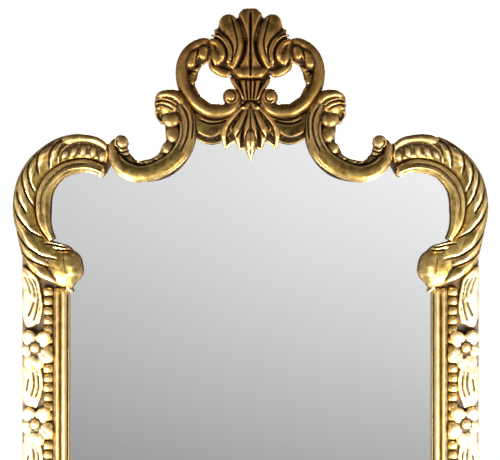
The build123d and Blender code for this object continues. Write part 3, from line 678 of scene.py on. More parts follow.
# %% Crest scrolls
def crest_scroll_chips():
    c = Chips()
    c.lobe([(-62, 1814), (-78, 1813), (-95, 1806), (-109, 1793), (-118, 1774), (-120, 1753), (-116, 1731),
            (-106, 1714), (-94, 1700), (-76, 1688), (-58, 1684), (-39, 1686), (-25, 1693), (-17, 1706),
            (-16, 1721)],
           [(-65, 1798), (-76, 1797), (-86, 1792), (-94, 1782), (-99, 1769), (-99, 1753), (-96, 1738),
            (-90, 1728), (-81, 1718), (-69, 1709), (-56, 1705), (-45, 1706), (-36, 1709), (-30, 1713),
            (-28, 1719)],
           crown=[6, 11, 14, 14, 14, 13, 11, 9, 8, 7], base=[5, 6, 6, 6, 6, 7, 8, 9, 9, 7],
           ends=(0.08, 0.05))
    c.button((-31, 1718), 13.6, 13.8, 8, 13)
    c.board([(-104, 1777), (-94, 1790), (-76, 1798), (-68, 1793), (-73, 1775), (-82, 1762), (-86, 1745),
             (-97, 1735), (-105, 1751)], 7)
    c.lobe([(-103, 1758), (-104, 1743), (-100, 1730), (-92, 1719), (-81, 1710), (-68, 1701), (-52, 1698)],
           [(-82, 1759), (-89, 1746), (-88, 1734), (-81, 1721), (-73, 1713), (-60, 1707), (-45, 1708)],
           crown=5, base=6)
    leaves = (([(-103, 1758), (-103, 1746), (-100, 1735)], [(-82, 1758), (-88, 1746), (-87, 1735)]),
              ([(-100, 1735), (-97, 1726), (-89, 1717)], [(-86, 1735), (-83, 1726), (-78, 1718)]),
              ([(-89, 1718), (-81, 1710), (-70, 1702)], [(-78, 1719), (-71, 1713), (-63, 1708)]),
              ([(-70, 1703), (-60, 1698), (-47, 1698)], [(-64, 1708), (-55, 1707), (-45, 1708)]))
    for a, b in leaves:
        c.lobe(a, b, crown=6, base=7, ends=0.3)
    c.board([(-81, 1801), (-62, 1809), (-57, 1793), (-65, 1775), (-74, 1770), (-84, 1766), (-97, 1777)], 9)
    c.lobe([(-100, 1759), (-105, 1772), (-102, 1785), (-90, 1797)],
           [(-90, 1761), (-86, 1772), (-83, 1783), (-82, 1796)], crown=[6, 9, 9, 6], base=11, ends=0.25)
    c.lobe([(-86, 1780), (-86, 1790), (-79, 1799), (-70, 1799)],
           [(-76, 1772), (-70, 1780), (-67, 1790), (-68, 1798)], crown=8, base=10, ends=0.3)
    c.lobe([(-87, 1767), (-94, 1759), (-98, 1751)], [(-76, 1769), (-83, 1759), (-88, 1749)], crown=5,
           base=8, ends=0.3)
    return c


crest_chips = crest_scroll_chips()
CREST_CUTS = [([(-41, 1726), (-34, 1728), (-26, 1724), (-24, 1715), (-31, 1710), (-38, 1714)], 1.3, 3),
              ([(-100, 1756), (-94, 1759), (-86, 1758)], 1.0, 3),
              ([(-87, 1770), (-86, 1782), (-83, 1793)], 1.2, 4)]
carve_pair("crest_scroll", crest_chips, CREST_CUTS)

# %% [markdown]
# The shell is a fan of curved flutes that start together on a plain band. Two lobes share the middle
# line, so a dark groove forms there by itself, and the outermost strands roll over into round curls.

# %% Crest shell
def shell_half_chips():
    c = Chips()
    c.board([(0.2, 1748), (-25, 1750), (-34, 1761), (-46, 1766), (-60, 1777), (-63, 1796), (-58, 1814),
             (-54, 1825), (-50, 1835), (-44, 1844), (-35, 1848), (-27, 1848), (-21, 1843), (-18, 1851),
             (-10, 1858), (0.2, 1860)], 5)
    c.lobe([(0, 1866), (0, 1838), (0, 1806), (0, 1780), (0, 1751)],
           [(-22, 1854), (-14, 1830), (-7, 1802), (-11, 1782), (-25, 1759)],
           crown=[6, 10, 11, 9, 5], base=[5, 8, 8, 7, 6], ends=(0.10, 0.02), power=0.9)
    c.lobe([(-5, 1863), (-2, 1834), (-0.8, 1809), (-0.8, 1783), (-2, 1761)],
           [(-11, 1857), (-6, 1834), (-4, 1809), (-5, 1783), (-9, 1761)],
           crown=[4, 4, 4, 3, 2], base=[8, 13, 14, 12, 8], ends=0.2)
    c.lobe([(-22, 1854), (-14, 1828), (-10, 1802), (-14, 1782), (-26, 1759)],
           [(-55, 1834), (-39, 1815), (-30, 1796), (-31, 1780), (-36, 1764)],
           crown=[9, 11, 12, 9, 4], base=[5, 7, 7, 7, 6], ends=(0.28, 0.02), power=0.9)
    c.button((-35, 1835), 15.6, 16.0, 6, 6.5)
    c.lobe([(-22, 1849), (-16, 1826), (-13, 1802), (-16, 1783), (-28, 1761)],
           [(-34, 1849), (-23, 1823), (-19, 1801), (-23, 1782), (-32, 1762)],
           crown=[4, 6, 6, 5, 3], base=[6, 10, 12, 11, 8], ends=(0.25, 0.05))
    c.lobe([(-54, 1833), (-34, 1815), (-26, 1796), (-27, 1780), (-33, 1764)],
           [(-62, 1819), (-45, 1808), (-36, 1794), (-35, 1780), (-39, 1766)],
           crown=[4, 7, 8, 7, 4], base=[5, 7, 7, 7, 5], ends=(0.3, 0.02))
    c.bead([(-64, 1817), (-50, 1814), (-39, 1802), (-34, 1786), (-38, 1770)], 1.5, 12)
    c.lobe([(-66, 1814), (-52, 1809), (-42, 1798), (-39, 1783), (-46, 1767)],
           [(-70, 1804), (-60, 1801), (-54, 1793), (-52, 1783), (-57, 1774)],
           crown=[5, 8, 8, 8, 5], base=6, ends=(0.15, 0.3))
    c.button((-56, 1782), 13.5, 15, 5, 8)
    c.lobe([(-68, 1777), (-66, 1764), (-55, 1754), (-41, 1749), (-34, 1750)],
           [(-55, 1782), (-54, 1772), (-47, 1766), (-36, 1762), (-28, 1761)],
           crown=[5, 6, 6, 5, 4], base=4, ends=0.15)
    c.lobe([(-36, 1764), (-20, 1766), (0.2, 1766)], [(-23, 1749), (-14, 1748), (0.2, 1748)],
           crown=[3, 5, 5], base=[6, 9, 10], ends=(0.3, 0.0))
    return c


def mirrored(chips):
    """The same chips on the other side of the middle line, faces turned the right way out."""
    other = chips.moved(lambda q: q * (-1, 1))
    other.faces = [f[::-1] for f in other.faces]
    return other


def mirror_cuts(cuts):
    return list(cuts) + [([(-x, z) for x, z in line], w, d) for line, w, d in cuts]


SHELL_CUTS = [([(-31, 1847), (-25, 1825), (-21, 1802), (-26, 1780)], 1.5, 4.5),
              ([(-18, 1847), (-10, 1826), (-6, 1802), (-10, 1783), (-20, 1766)], 1.6, 5),
              ([(-51, 1825), (-34, 1809), (-28, 1793), (-30, 1774)], 1.5, 4.5),
              ([(-66, 1802), (-64, 1790), (-63, 1777), (-58, 1767)], 1.8, 5),
              ([(-7, 1825), (-4, 1802), (-4, 1777)], 0.9, 2)]
shell_half = shell_half_chips()
shell_chips = shell_half + mirrored(shell_half)
SHELL_ALL = mirror_cuts(SHELL_CUTS) + [([(0, 1852), (0, 1830), (0, 1790), (0, 1752)], 1.8, 7)]
carve("carved_crest_shell", shell_chips, SHELL_ALL, replaces=("crest_shell",))

# %% [markdown]
# Under the shell a fluted neck opens into a hanging leaf with pointed tips, and two plain wings fill the
# corners between the leaf and the scrolls.

# %% Pendant leaf and wings
def pendant_half_chips():
    c = Chips()
    c.board([(0.2, 1750), (-34, 1751), (-30, 1740), (-22, 1727), (-15, 1711), (-20, 1697), (-33, 1682),
             (-46, 1668), (-47, 1657), (-41, 1636), (-22, 1650), (-17, 1633), (-7, 1638), (-4, 1626),
             (0.2, 1617)], 3)
    c.lobe([(0, 1746), (0, 1729), (0, 1711)], [(-8, 1746), (-6, 1729), (-4, 1711)], crown=6, base=6,
           ends=0.1)
    c.lobe([(-8, 1746), (-7, 1729), (-5, 1711)], [(-18, 1746), (-13, 1729), (-9, 1711)], crown=7, base=5,
           ends=0.1)
    c.lobe([(-34, 1751), (-30, 1740), (-20, 1727), (-12, 1711)],
           [(-28, 1750), (-22, 1740), (-14, 1727), (-8, 1711)], crown=5, base=8, ends=0.2)
    c.lobe([(0.2, 1711), (0.2, 1706), (0.2, 1697)], [(-20, 1700), (-17, 1699), (-12, 1694)],
           crown=[5, 7, 5], base=6, ends=(0.1, 0.2))
    c.lobe([(0.2, 1706), (0.2, 1684), (0.2, 1662), (0.2, 1639), (0.2, 1615)],
           [(-2, 1702), (-7, 1681), (-11, 1662), (-9, 1638), (-1, 1617)],
           crown=[5, 9, 10, 9, 4], base=[7, 8, 8, 6, 3], ends=(0.1, 0.12))
    c.lobe([(-2, 1700), (-8, 1681), (-14, 1663), (-16, 1647), (-16, 1631)],
           [(-8, 1703), (-18, 1685), (-28, 1668), (-27, 1655), (-18, 1634)],
           crown=[5, 9, 10, 8, 3], base=[6, 7, 7, 5, 3], ends=(0.12, 0.15))
    c.lobe([(-9, 1703), (-22, 1686), (-34, 1670), (-38, 1655), (-39, 1634)],
           [(-15, 1705), (-33, 1687), (-46, 1669), (-48, 1655), (-43, 1638)],
           crown=[5, 8, 8, 7, 3], base=[6, 6, 6, 5, 3], ends=(0.12, 0.15))
    c.lobe([(-30, 1684), (-36, 1670), (-28, 1658), (-22, 1650)],
           [(-22, 1684), (-28, 1670), (-25, 1658), (-18, 1649)], crown=4, base=5, ends=0.2)
    c.lobe([(0.2, 1668), (0.2, 1658), (0.2, 1647), (0.2, 1636), (0.2, 1626)],
           [(-2, 1666), (-5, 1657), (-7, 1646), (-5, 1636), (-0.8, 1627)],
           crown=[2, 4, 5, 4, 2], base=[13, 15, 15, 12, 8], ends=0.2)
    return c


PENDANT_CUTS = [([(-4, 1694), (-10, 1678), (-17, 1663), (-23, 1654)], 1.4, 4.5),
                ([(-12, 1697), (-25, 1682), (-34, 1670), (-37, 1660)], 1.4, 4),
                ([(-2, 1668), (-7, 1657), (-9, 1646), (-6, 1633)], 1.1, 3),
                ([(-7, 1745), (-6, 1729), (-4, 1713)], 1.3, 4),
                ([(-18, 1743), (-14, 1729), (-9, 1713)], 1.2, 3.5),
                ([(-23, 1708), (-15, 1707), (-7, 1703)], 1.3, 3)]
pendant_half = pendant_half_chips()
pendant_chips = pendant_half + mirrored(pendant_half)
PENDANT_ALL = mirror_cuts(PENDANT_CUTS) + [([(0, 1746), (0, 1730), (0, 1712)], 1.6, 5)]
carve("carved_crest_pendant", pendant_chips, PENDANT_ALL, replaces=("crest_pendant",))

wing = Chips()
wing.board([(-102, 1716), (-90, 1702), (-81, 1694), (-74, 1682), (-92, 1682)], 4)
wing.board([(-92, 1684), (-90, 1655), (-82, 1648), (-73, 1644), (-62, 1642), (-49, 1645), (-39, 1652),
            (-23, 1671), (-17, 1694)], 4)
wing.lobe([(-94, 1695), (-76, 1686), (-58, 1682), (-39, 1684), (-20, 1697)],
          [(-87, 1662), (-74, 1655), (-62, 1653), (-50, 1658), (-36, 1671)],
          crown=[2, 3, 3, 3, 2], base=7, ends=(0.02, 0.1))
# the wings take the darker copy of the gilding, as painted shade
carve_pair("wing_leaf", wing, [([(-82, 1682), (-68, 1676), (-52, 1676), (-33, 1682)], 1.5, 5),
                               ([(-76, 1685), (-58, 1681), (-39, 1683)], 1.2, 3)], material=toned_gilding)

# %% [markdown]
# ## Straight mouldings
# A moulding plane runs one profile along the stile, so the moulding is a strip through straight lines.
# Gilded mouldings are never quite true: a little waviness in the lines keeps them from looking extruded.

# %% Sight mouldings
side_low, side_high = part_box("sight_moulding_left")
RIB, COVE = 8.5, 10.5                  # heights of the two raised members over the face, in mm
PROFILE = [(-315.4, -1), (-315.2, 2.5), (-313.8, 3.6), (-312.4, 6.4), (-310, RIB), (-307.6, 6.8),
           (-306.2, 3.6),
           (-305.2, 1.0), (-304.3, 1.2), (-303.6, 4.8), (-302.2, 8.4), (-299.2, COVE), (-296.2, 9.6),
           (-294.6, 6.8),
           (-293.6, 2.2), (-292.6, 1.6), (-291.6, 2.4), (-291.05, 1.2), (-291.0, -12.8)]


WAVE, PLAIN = 0.35, 2.6                # mm of waviness, and the height below which the wood stays true


def moulding(name, across, start, end, turn, replaces):
    """Runs the profile from start to end; turn maps (offset, along) to a place on the face."""
    rng = np.random.default_rng(7)
    stations = np.arange(start, end + 0.1, 5.0)
    stations[-1] = end
    wave = np.convolve(rng.normal(0, 1, len(stations) + 8), np.ones(9) / 9, "valid")[:len(stations)]
    points, faces = [], []
    for k, (offset, height) in enumerate(across):
        for s, w in zip(stations, wave):
            x, z = turn(offset, s)
            shift = WAVE * w * (height > PLAIN)
            points.append((x * MM, FACE_Y - (height + shift) * MM, z * MM))
    cols = len(stations)
    for k in range(len(across) - 1):
        for s in range(cols - 1):
            faces.append((k * cols + s, k * cols + s + 1, (k + 1) * cols + s + 1, (k + 1) * cols + s))
    rows = len(across)
    faces.append(tuple(k * cols for k in range(rows)))
    faces.append(tuple(k * cols + cols - 1 for k in range(rows))[::-1])
    faces.append(tuple(list(range(cols))[::-1] + [(rows - 1) * cols + s for s in range(cols)]))
    obj = new_object(name, points, faces)
    close_skin(obj)
    store_shade_toning_and_highlight(obj.data, near_steps=2, far_steps=6)
    obj.data.materials.append(moulding_gilding)
    for polygon in obj.data.polygons:
        polygon.use_smooth = True
    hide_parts(*replaces)
    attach(obj, LEAF)
    print(name, len(obj.data.polygons), "faces")


def close_skin(obj):
    """Splits big flat end faces into triangles and turns every face outwards."""
    work = bmesh.new()
    work.from_mesh(obj.data)
    bmesh.ops.triangulate(work, faces=[f for f in work.faces if len(f.verts) > 4])
    bmesh.ops.recalc_face_normals(work, faces=work.faces)
    work.to_mesh(obj.data)
    work.free()


FINE = []                                # the profile, resampled so that the painted shade and highlight have points to sit on
for (x0, h0), (x1, h1) in zip(PROFILE, PROFILE[1:]):
    for t in (0, 0.5):
        FINE.append((x0 + (x1 - x0) * t, h0 + (h1 - h0) * t))
FINE.append(PROFILE[-1])
for sign, word in ((1, "left"), (-1, "right")):
    moulding(f"moulding_{word}", FINE, side_low[2] / MM, side_high[2] / MM,
             turn=lambda x, s, sign=sign: (x * sign, s), replaces=(f"sight_moulding_{word}",))
low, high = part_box("sight_moulding_bottom")
SIGHT_X, SIGHT_Z = 291.0, high[2] / MM
moulding("moulding_bottom", FINE, low[0] / MM, high[0] / MM,
         turn=lambda x, s: (s, SIGHT_Z + x + SIGHT_X), replaces=("sight_moulding_bottom",))

# %% [markdown]
# ## Rows of beads
# Pillow-shaped beads follow the moulding all the way round. One bead is modelled and Geometry Nodes
# repeats it along a line: change the pitch and the whole row changes. The instances are made real at
# the end, because an exported model can't hold instances.

# %% One bead
def pillow_bead(width=16.4, length=15.0, height=9.6):
    chips = Chips()
    chips.button((0, 0), width / 2, length / 2, 0.6, height, turns=12, rows=4)
    points = np.array(chips.points)
    square = 0.45                     # pulls the round plan towards a rounded square
    for k in (0, 1):
        half = (width, length)[k] / 2
        points[:, k] = half * np.sign(points[:, k]) * np.abs(points[:, k] / half) ** (1 - square)
    points[:, 2] = np.maximum(points[:, 2], -0.8)
    obj = new_object("bead_pattern", [(x * MM, -h * MM, z * MM) for x, z, h in points], chips.faces)
    close_skin(obj)
    return obj


bead_pattern = pillow_bead()
print("bead", len(bead_pattern.data.polygons), "faces")

# %% [markdown]
# The tree puts points on a straight line at the given pitch, instances the bead on them with a small
# seeded change of size, realises the instances and sets the gilding.

# %% Bead row tree
BEAD_PITCH, BEAD_SEED = 0.0153, 3        # metres from bead to bead, and the seed of their sizes


def socket(tree, name, kind, value):
    made = tree.interface.new_socket(name, in_out="INPUT", socket_type=kind)
    made.default_value = value
    return made.identifier


def bead_row_tree():
    tree = bpy.data.node_groups.new("bead_row", "GeometryNodeTree")
    tree.interface.new_socket("Line", in_out="INPUT", socket_type="NodeSocketGeometry")
    tree.interface.new_socket("Beads", in_out="OUTPUT", socket_type="NodeSocketGeometry")
    ids = {"Pitch": socket(tree, "Pitch", "NodeSocketFloat", BEAD_PITCH),
           "Seed": socket(tree, "Seed", "NodeSocketInt", BEAD_SEED)}
    inputs, output = tree.nodes.new("NodeGroupInput"), tree.nodes.new("NodeGroupOutput")
    curve = tree.nodes.new("GeometryNodeMeshToCurve")
    points = tree.nodes.new("GeometryNodeCurveToPoints")
    points.mode = "LENGTH"
    bead = tree.nodes.new("GeometryNodeObjectInfo")
    bead.inputs["Object"].default_value = bead_pattern
    size = tree.nodes.new("FunctionNodeRandomValue")
    size.data_type = "FLOAT_VECTOR"
    size.inputs[0].default_value, size.inputs[1].default_value = (0.93, 0.9, 0.9), (1.03, 1.05, 1.03)
    place = tree.nodes.new("GeometryNodeInstanceOnPoints")
    real, finish = tree.nodes.new("GeometryNodeRealizeInstances"), tree.nodes.new("GeometryNodeSetMaterial")
    finish.inputs["Material"].default_value = gilding
    link = tree.links.new
    link(inputs.outputs["Line"], curve.inputs["Mesh"])
    link(curve.outputs["Curve"], points.inputs["Curve"])
    link(inputs.outputs["Pitch"], points.inputs["Length"])
    link(points.outputs["Points"], place.inputs["Points"])
    link(bead.outputs["Geometry"], place.inputs["Instance"])
    link(inputs.outputs["Seed"], size.inputs["Seed"])
    link(size.outputs[0], place.inputs["Scale"])
    link(place.outputs["Instances"], real.inputs["Geometry"])
    link(real.outputs["Geometry"], finish.inputs["Geometry"])
    link(finish.outputs["Geometry"], output.inputs["Beads"])
    return tree, ids


bead_tree, bead_ids = bead_row_tree()


def grown(host, tree, values, name):
    """Runs a tree on host and returns its result as a plain mesh object."""
    mod = host.modifiers.new("grow", "NODES")
    mod.node_group = tree
    for key, value in values.items():
        mod[key] = value
    bpy.context.view_layer.update()
    mesh = bpy.data.meshes.new_from_object(host.evaluated_get(bpy.context.evaluated_depsgraph_get()))
    bpy.data.objects.remove(host)
    obj = bpy.data.objects.new(name, mesh)
    bpy.context.scene.collection.objects.link(obj)
    return obj


def bead_row(name, start, end, replaces):
    line = new_object(name + "_line", [start, end], [])
    line.data.edges.add(1)
    line.data.edges[0].vertices = (0, 1)
    obj = grown(line, bead_tree, {bead_ids["Pitch"]: BEAD_PITCH, bead_ids["Seed"]: BEAD_SEED}, name)
    for polygon in obj.data.polygons:
        polygon.use_smooth = True
    store_rim_shade_toning_and_highlight(obj.data)
    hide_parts(replaces)
    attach(obj, LEAF)
    print(name, len(obj.data.polygons), "faces")


def store_rim_shade_toning_and_highlight(mesh, full=8.0):
    """For small repeated pieces: painted shade with toning low down by the board, painted highlight on top.
    """
    n = len(mesh.vertices)
    co = np.empty(n * 3)
    mesh.vertices.foreach_get("co", co)
    height = (FACE_Y - co.reshape(-1, 3)[:, 1]) / MM
    for name, values in (("hollow", np.clip(1 - height / (0.55 * full), 0, 1)),
                         ("edge", np.clip((height - 0.6 * full) / (0.5 * full), 0, 1) * 0.6)):
        layer = mesh.attributes.get(name) or mesh.attributes.new(name, "FLOAT", "POINT")
        layer.data.foreach_set("value", values.astype(np.float32))


# %% The three rows
END = 0.008                            # metres from the end of a strip to its first bead
for word in ("left", "right"):
    low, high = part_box(f"bead_strip_{word}")
    x = (low[0] + high[0]) / 2
    bead_row(f"beads_{word}", (x, FACE_Y, low[2] + END), (x, FACE_Y, high[2] - 0.006), f"bead_strip_{word}")
low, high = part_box("bead_strip_bottom")
z = (low[2] + high[2]) / 2
bead_row("beads_bottom", (low[0] + END, FACE_Y, z), (high[0] - END, FACE_Y, z), "bead_strip_bottom")
bpy.data.objects.remove(bead_pattern)

# %% [markdown]
# ## Garlands on the stiles
# Down each stile runs a chain: a long leaf, a six-petal flower, a leaf, a flower. The leaves follow one
# drawing, repeated at the flowers' pitch; the first leaf is longer and curls out from under the scroll.

# %% Leaves of the garland
FLOWER_X, FLOWER_Z, PITCH, FLOWERS = -344.5, 1316.6, 122.4, 8


def garland_chips():
    c = Chips()
    c.lobe([(-366, 1449), (-354, 1438), (-345, 1425), (-339, 1409), (-336, 1391), (-335, 1374),
            (-340, 1353)],
           [(-367, 1439), (-366, 1420), (-365, 1404), (-366, 1388), (-366, 1374), (-364, 1361),
            (-358, 1343)], crown=[3, 6, 7, 7, 7, 6, 4], base=[5, 3, 2, 2, 2, 2, 2],
           ends=(0.1, 0.1))
    c.bead([(-366, 1447), (-353, 1436), (-342, 1423), (-338, 1406), (-335, 1388), (-335, 1374),
            (-340, 1353)], [1.2, 1.8, 1.8, 1.6, 1.2], 7)
    cuts = [([(-346, 1391), (-351, 1378), (-356, 1367)], 1.5, 5),
            ([(-340, 1393), (-343, 1374), (-348, 1358)], 1.3, 4),
            ([(-362, 1433), (-356, 1418), (-351, 1402)], 1.2, 3),
            ([(-356, 1430), (-348, 1415), (-345, 1398)], 1.1, 2.5)]
    right_edge = np.array([(-343, 1294), (-337, 1279), (-334, 1260), (-337, 1239), (-345, 1217)])
    left_edge = np.array([(-366, 1292), (-366, 1274), (-366, 1255), (-366, 1236), (-356, 1217)])
    for k in range(FLOWERS):
        drop = np.array([0, -PITCH * k])
        c.lobe(right_edge + drop, left_edge + drop, crown=[2, 6, 8, 8, 3], base=2.5, ends=0.14)
        c.bead(right_edge + drop, [1.2, 1.8, 1.8, 1.2], 5.5)
        for line, width in (([(-348, 1278), (-346, 1258), (-351, 1238)], 1.5),
                            ([(-355, 1268), (-357, 1257), (-358, 1247)], 1.4),
                            ([(-341, 1274), (-339, 1255), (-344, 1236)], 1.1)):
            cuts.append((np.array(line) + drop, width, 4.5))
    return c, cuts


garland, garland_cuts = garland_chips()
# the garland takes the paler copy of the gilding, as painted light
carve_pair("leaf_garland", garland, garland_cuts, voxel=1.5, material=rubbed_gilding)

# %% [markdown]
# A flower is six cupped petals round a button. The petals are not flat discs: each is a small cushion
# with a crease along its middle and its outer end lifted, so each is lofted as rings that shrink to its
# top. Petals around a centre are a rule, so Geometry Nodes could place them; here the outer petals are
# squeezed by the edge of the frame, and drawing the six one by one keeps that.

# %% Flowers
# each petal: its middle from the flower's centre, across and up, then its length and width
PETALS = [(12.5, 13.5, 27, 23), (16.0, -13.5, 27, 23), (-9.5, 16.0, 26, 21), (-13.0, -3.0, 20, 22),
          (-9.0, -20.5, 25, 20),
          (5.5, -24.0, 22, 19)]


def petal(chips, centre, away, length, width, lift):
    """One cupped petal: a rounded cushion with a crease along it, its outer end the highest."""
    rings, cols = 8, 24
    rise, crease, tip_lift, taper = 4.2, 0.9, 1.3, 0.16
    top = np.zeros((rings, cols, 3))
    turn = math.atan2(away[1], away[0])
    for r in range(rings):
        share = 1 - r / (rings - 1)
        for k in range(cols):
            a = 2 * math.pi * k / cols
            u, v = math.cos(a) * share, math.sin(a) * share * (1 - taper * math.cos(a))
            dome = rise * math.sqrt(max(0,
                                        1 - share ** 2.4)) - crease * math.exp(-v ** 2 / 0.012) * (u > -0.9)
            px, pz = u * length / 2, v * width / 2
            x, z = px * math.cos(turn) - pz * math.sin(turn), px * math.sin(turn) + pz * math.cos(turn)
            top[r, k] = (centre[0] + away[0] + x, centre[1] + away[1] + z, lift + dome + tip_lift * u)
    chips.fan(top)


PETAL_LIFT = 10.5                      # mm from the face to a petal's rim


def flower_chips(centres, seed=5):
    c = Chips()
    rng = random.Random(seed)
    for centre in centres:
        c.button(centre, 13, 16, 6, 6)
        sway = rng.uniform(-0.12, 0.12)
        for dx, dz, length, width in PETALS:
            away = (dx * math.cos(sway) - dz * math.sin(sway) * 0.4,
                    dz * math.cos(sway) + dx * math.sin(sway))
            size = (length + rng.uniform(-1, 1), width + rng.uniform(-1, 1))
            petal(c, centre, away, *size, PETAL_LIFT + rng.uniform(-0.8, 0.8))
        c.button(centre, 7.2, 7.8, 13, 8.0)
    return c


centres = [(FLOWER_X, FLOWER_Z - PITCH * k) for k in range(FLOWERS)]
# the flowers take the paler copy of the gilding, as painted light
carve_pair("flowers", flower_chips(centres), voxel=1.4, soften=2, material=rubbed_gilding)

# %% [markdown]
# ## The foot of the leaf
# The lower corners repeat the C-scroll of the top, smaller and flipped to face into the corner, over a
# plain board with a beaded edge. The middle repeats the shell, the leaf and the scrolls, upside down. A
# carver reuses patterns in just this way, and the chips can be moved as a set before they are joined.

# %% Bottom corners and cartouche
def placed_by(turn_deg, scale, old, new, flip=1):
    """A rule that moves the point old to new, and turns, scales and flips the drawing about it."""
    turn = math.radians(turn_deg)
    spin = np.array([[math.cos(turn), -math.sin(turn)], [math.sin(turn), math.cos(turn)]])

    def place(q):
        return ((np.asarray(q, float) - old) * (flip, 1) * scale) @ spin.T + new
    return place


CORNER_SCALE = 0.80
corner_place = placed_by(0, CORNER_SCALE, (-152, 1650), (-297, 246), flip=-1)
corner = Chips()
low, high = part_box("corner_scroll_left")
x0, x1, z0, z1 = low[0] / MM, high[0] / MM, low[2] / MM, high[2] / MM
IN = 3                                 # mm from the board's edge to the middle of its bead
corner.board([(x0, z0), (x1, z0), (x1, SIGHT_Z), (-SIGHT_X, SIGHT_Z), (-SIGHT_X, z1), (x0, z1)], 7)
for line in ([(x0 + IN, z0 + IN), (x1, z0 + IN)], [(x0 + IN, z0 + IN), (x0 + IN, z1)],
             [(-SIGHT_X - 2, SIGHT_Z + 4), (-SIGHT_X - 2, z1)],
             [(-SIGHT_X, SIGHT_Z - 2), (x1, SIGHT_Z - 2)]):
    corner.bead([line[0], tuple(np.mean(line, axis=0)), line[1]], 3, 7)
scroll = c_chips.moved(corner_place)
scroll.faces = [f[::-1] for f in scroll.faces]
corner_cuts = [(corner_place(np.array(line)), w * CORNER_SCALE, d * CORNER_SCALE) for line, w, d in C_CUTS]
carve_pair("corner_scroll", corner + scroll.raised(0.72, 6), corner_cuts)

low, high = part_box("bottom_cartouche")
cart_place = placed_by(180, 0.92, (0, 1748), (0, 238))
cartouche = shell_chips.moved(cart_place) + pendant_chips.moved(placed_by(180, 0.55, (0, 1700), (0, 262)))
cartouche = cartouche.raised(1, 11)
curl_place = placed_by(180, 0.72, (-58.4, 1748), (-60, 214))
for half in (crest_chips.moved(curl_place), mirrored(crest_chips.moved(curl_place))):
    cartouche = cartouche + half.raised(0.8, 10)
cart_cuts = [(cart_place(np.array(line)), w, d) for line, w, d in SHELL_ALL]
carve("carved_bottom_cartouche", cartouche, cart_cuts, replaces=("bottom_cartouche",))

# %% [markdown]
# ## The mirror plate
# Silvered glass is a perfect mirror under a clear sheet. A metallic surface with almost no roughness
# gives the reflection; a faint unevenness of the silver stops it from looking computed.

# %% Mirror plate
def finish_node(name, mat):
    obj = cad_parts[name]
    obj.data.materials.clear()
    obj.data.materials.append(mat)


silver, silver_tree, silver_shader = material("silvered_glass", metallic=1.0, roughness=0.015)
haze = noise(silver_tree, 3.0, 2)
tint = ramp(silver_tree, haze, [(0.3, (0.90, 0.905, 0.91)), (0.7, (0.93, 0.93, 0.93))])
silver_tree.links.new(tint, silver_shader.inputs["Base Color"])
silver_tree.links.new(span(silver_tree, noise(silver_tree, 14, 3), 0.3, 0.7, 0.008, 0.022),
                      silver_shader.inputs["Roughness"])
finish_node("mirror_glass", silver)

# %% [markdown]
# ## Bare wood, plywood and hardware
# The back is plain joiner's work: stained pine boards, a plywood sheet, zinc plates and screws. Grain is a
# noise stretched along the board, so posts and rails need it turned to their own direction.

# %% Wood
def wood(name, dark, light, along="z", scale=26, stretch=14, sheen=0.5):
    mat, tree, shader = material(name, roughness=sheen)
    squeeze = {"x": (1 / stretch, 1, 1), "z": (1, 1, 1 / stretch)}[along]
    grain = noise(tree, scale * 3, 6, squeeze)
    rings = noise(tree, scale, 2, squeeze)
    both = maths(tree, "ADD", maths(tree, "MULTIPLY", grain, 0.55), maths(tree, "MULTIPLY", rings, 0.45))
    tree.links.new(ramp(tree, both, [(0.34, dark), (0.68, light)]), shader.inputs["Base Color"])
    tree.links.new(span(tree, grain, 0.3, 0.7, sheen + 0.12, sheen - 0.08), shader.inputs["Roughness"])
    bump(tree, shader, [(grain, 0.25, 0.0006), (noise(tree, 700, 2, squeeze), 0.12, 0.0002)])
    return mat


TONED_TO = 0.004                       # metres: how far back round the edges the toning reaches


def sized_front(mat):
    """The front and edges of the board are toned like the gilding's hollows; the back stays bare."""
    tree = mat.node_tree
    shader = next(n for n in tree.nodes if n.type == "BSDF_PRINCIPLED")
    place, apart = tree.nodes.new("ShaderNodeTexCoord"), tree.nodes.new("ShaderNodeSeparateXYZ")
    tree.links.new(place.outputs["Object"], apart.inputs["Vector"])
    front = span(tree, apart.outputs["Y"], TONED_TO, TONED_TO - 0.001)
    cloud = noise(tree, 60, 5)
    toned = ramp(tree, cloud, [(0.40, (0.022, 0.011, 0.005)), (0.66, (0.12, 0.065, 0.022))])
    bare = shader.inputs["Base Color"].links[0].from_socket
    tree.links.new(mix(tree, front, bare, toned), shader.inputs["Base Color"])
    tree.links.new(maths(tree, "MULTIPLY", front, 0.4), shader.inputs["Metallic"])


stained_upright = wood("stained_pine_upright", (0.055, 0.028, 0.012), (0.15, 0.08, 0.035))
stained_across = wood("stained_pine_across", (0.055, 0.028, 0.012), (0.15, 0.08, 0.035), along="x")
sized_front(stained_upright)
sized_front(stained_across)
plywood = wood("plywood", (0.30, 0.19, 0.10), (0.48, 0.33, 0.19), scale=14, stretch=22, sheen=0.6)
for name in ("stile_left", "stile_right"):
    finish_node(name, stained_upright)
for name in ("bottom_rail", "crest_board", "shoulder_block_left", "shoulder_block_right"):
    finish_node(name, stained_across)
finish_node("backing_board", plywood)


# %% Metal, leather and pads
def metal(name, dark, light, rough=(0.22, 0.42), scale=70):
    mat, tree, shader = material(name, metallic=1.0)
    cloud, fine = noise(tree, scale, 5), noise(tree, scale * 9, 3)
    tree.links.new(ramp(tree, cloud, [(0.32, dark), (0.66, light)]), shader.inputs["Base Color"])
    tree.links.new(span(tree, cloud, 0.3, 0.7, *rough[::-1]), shader.inputs["Roughness"])
    bump(tree, shader, [(fine, 0.10, 0.0002)])
    return mat


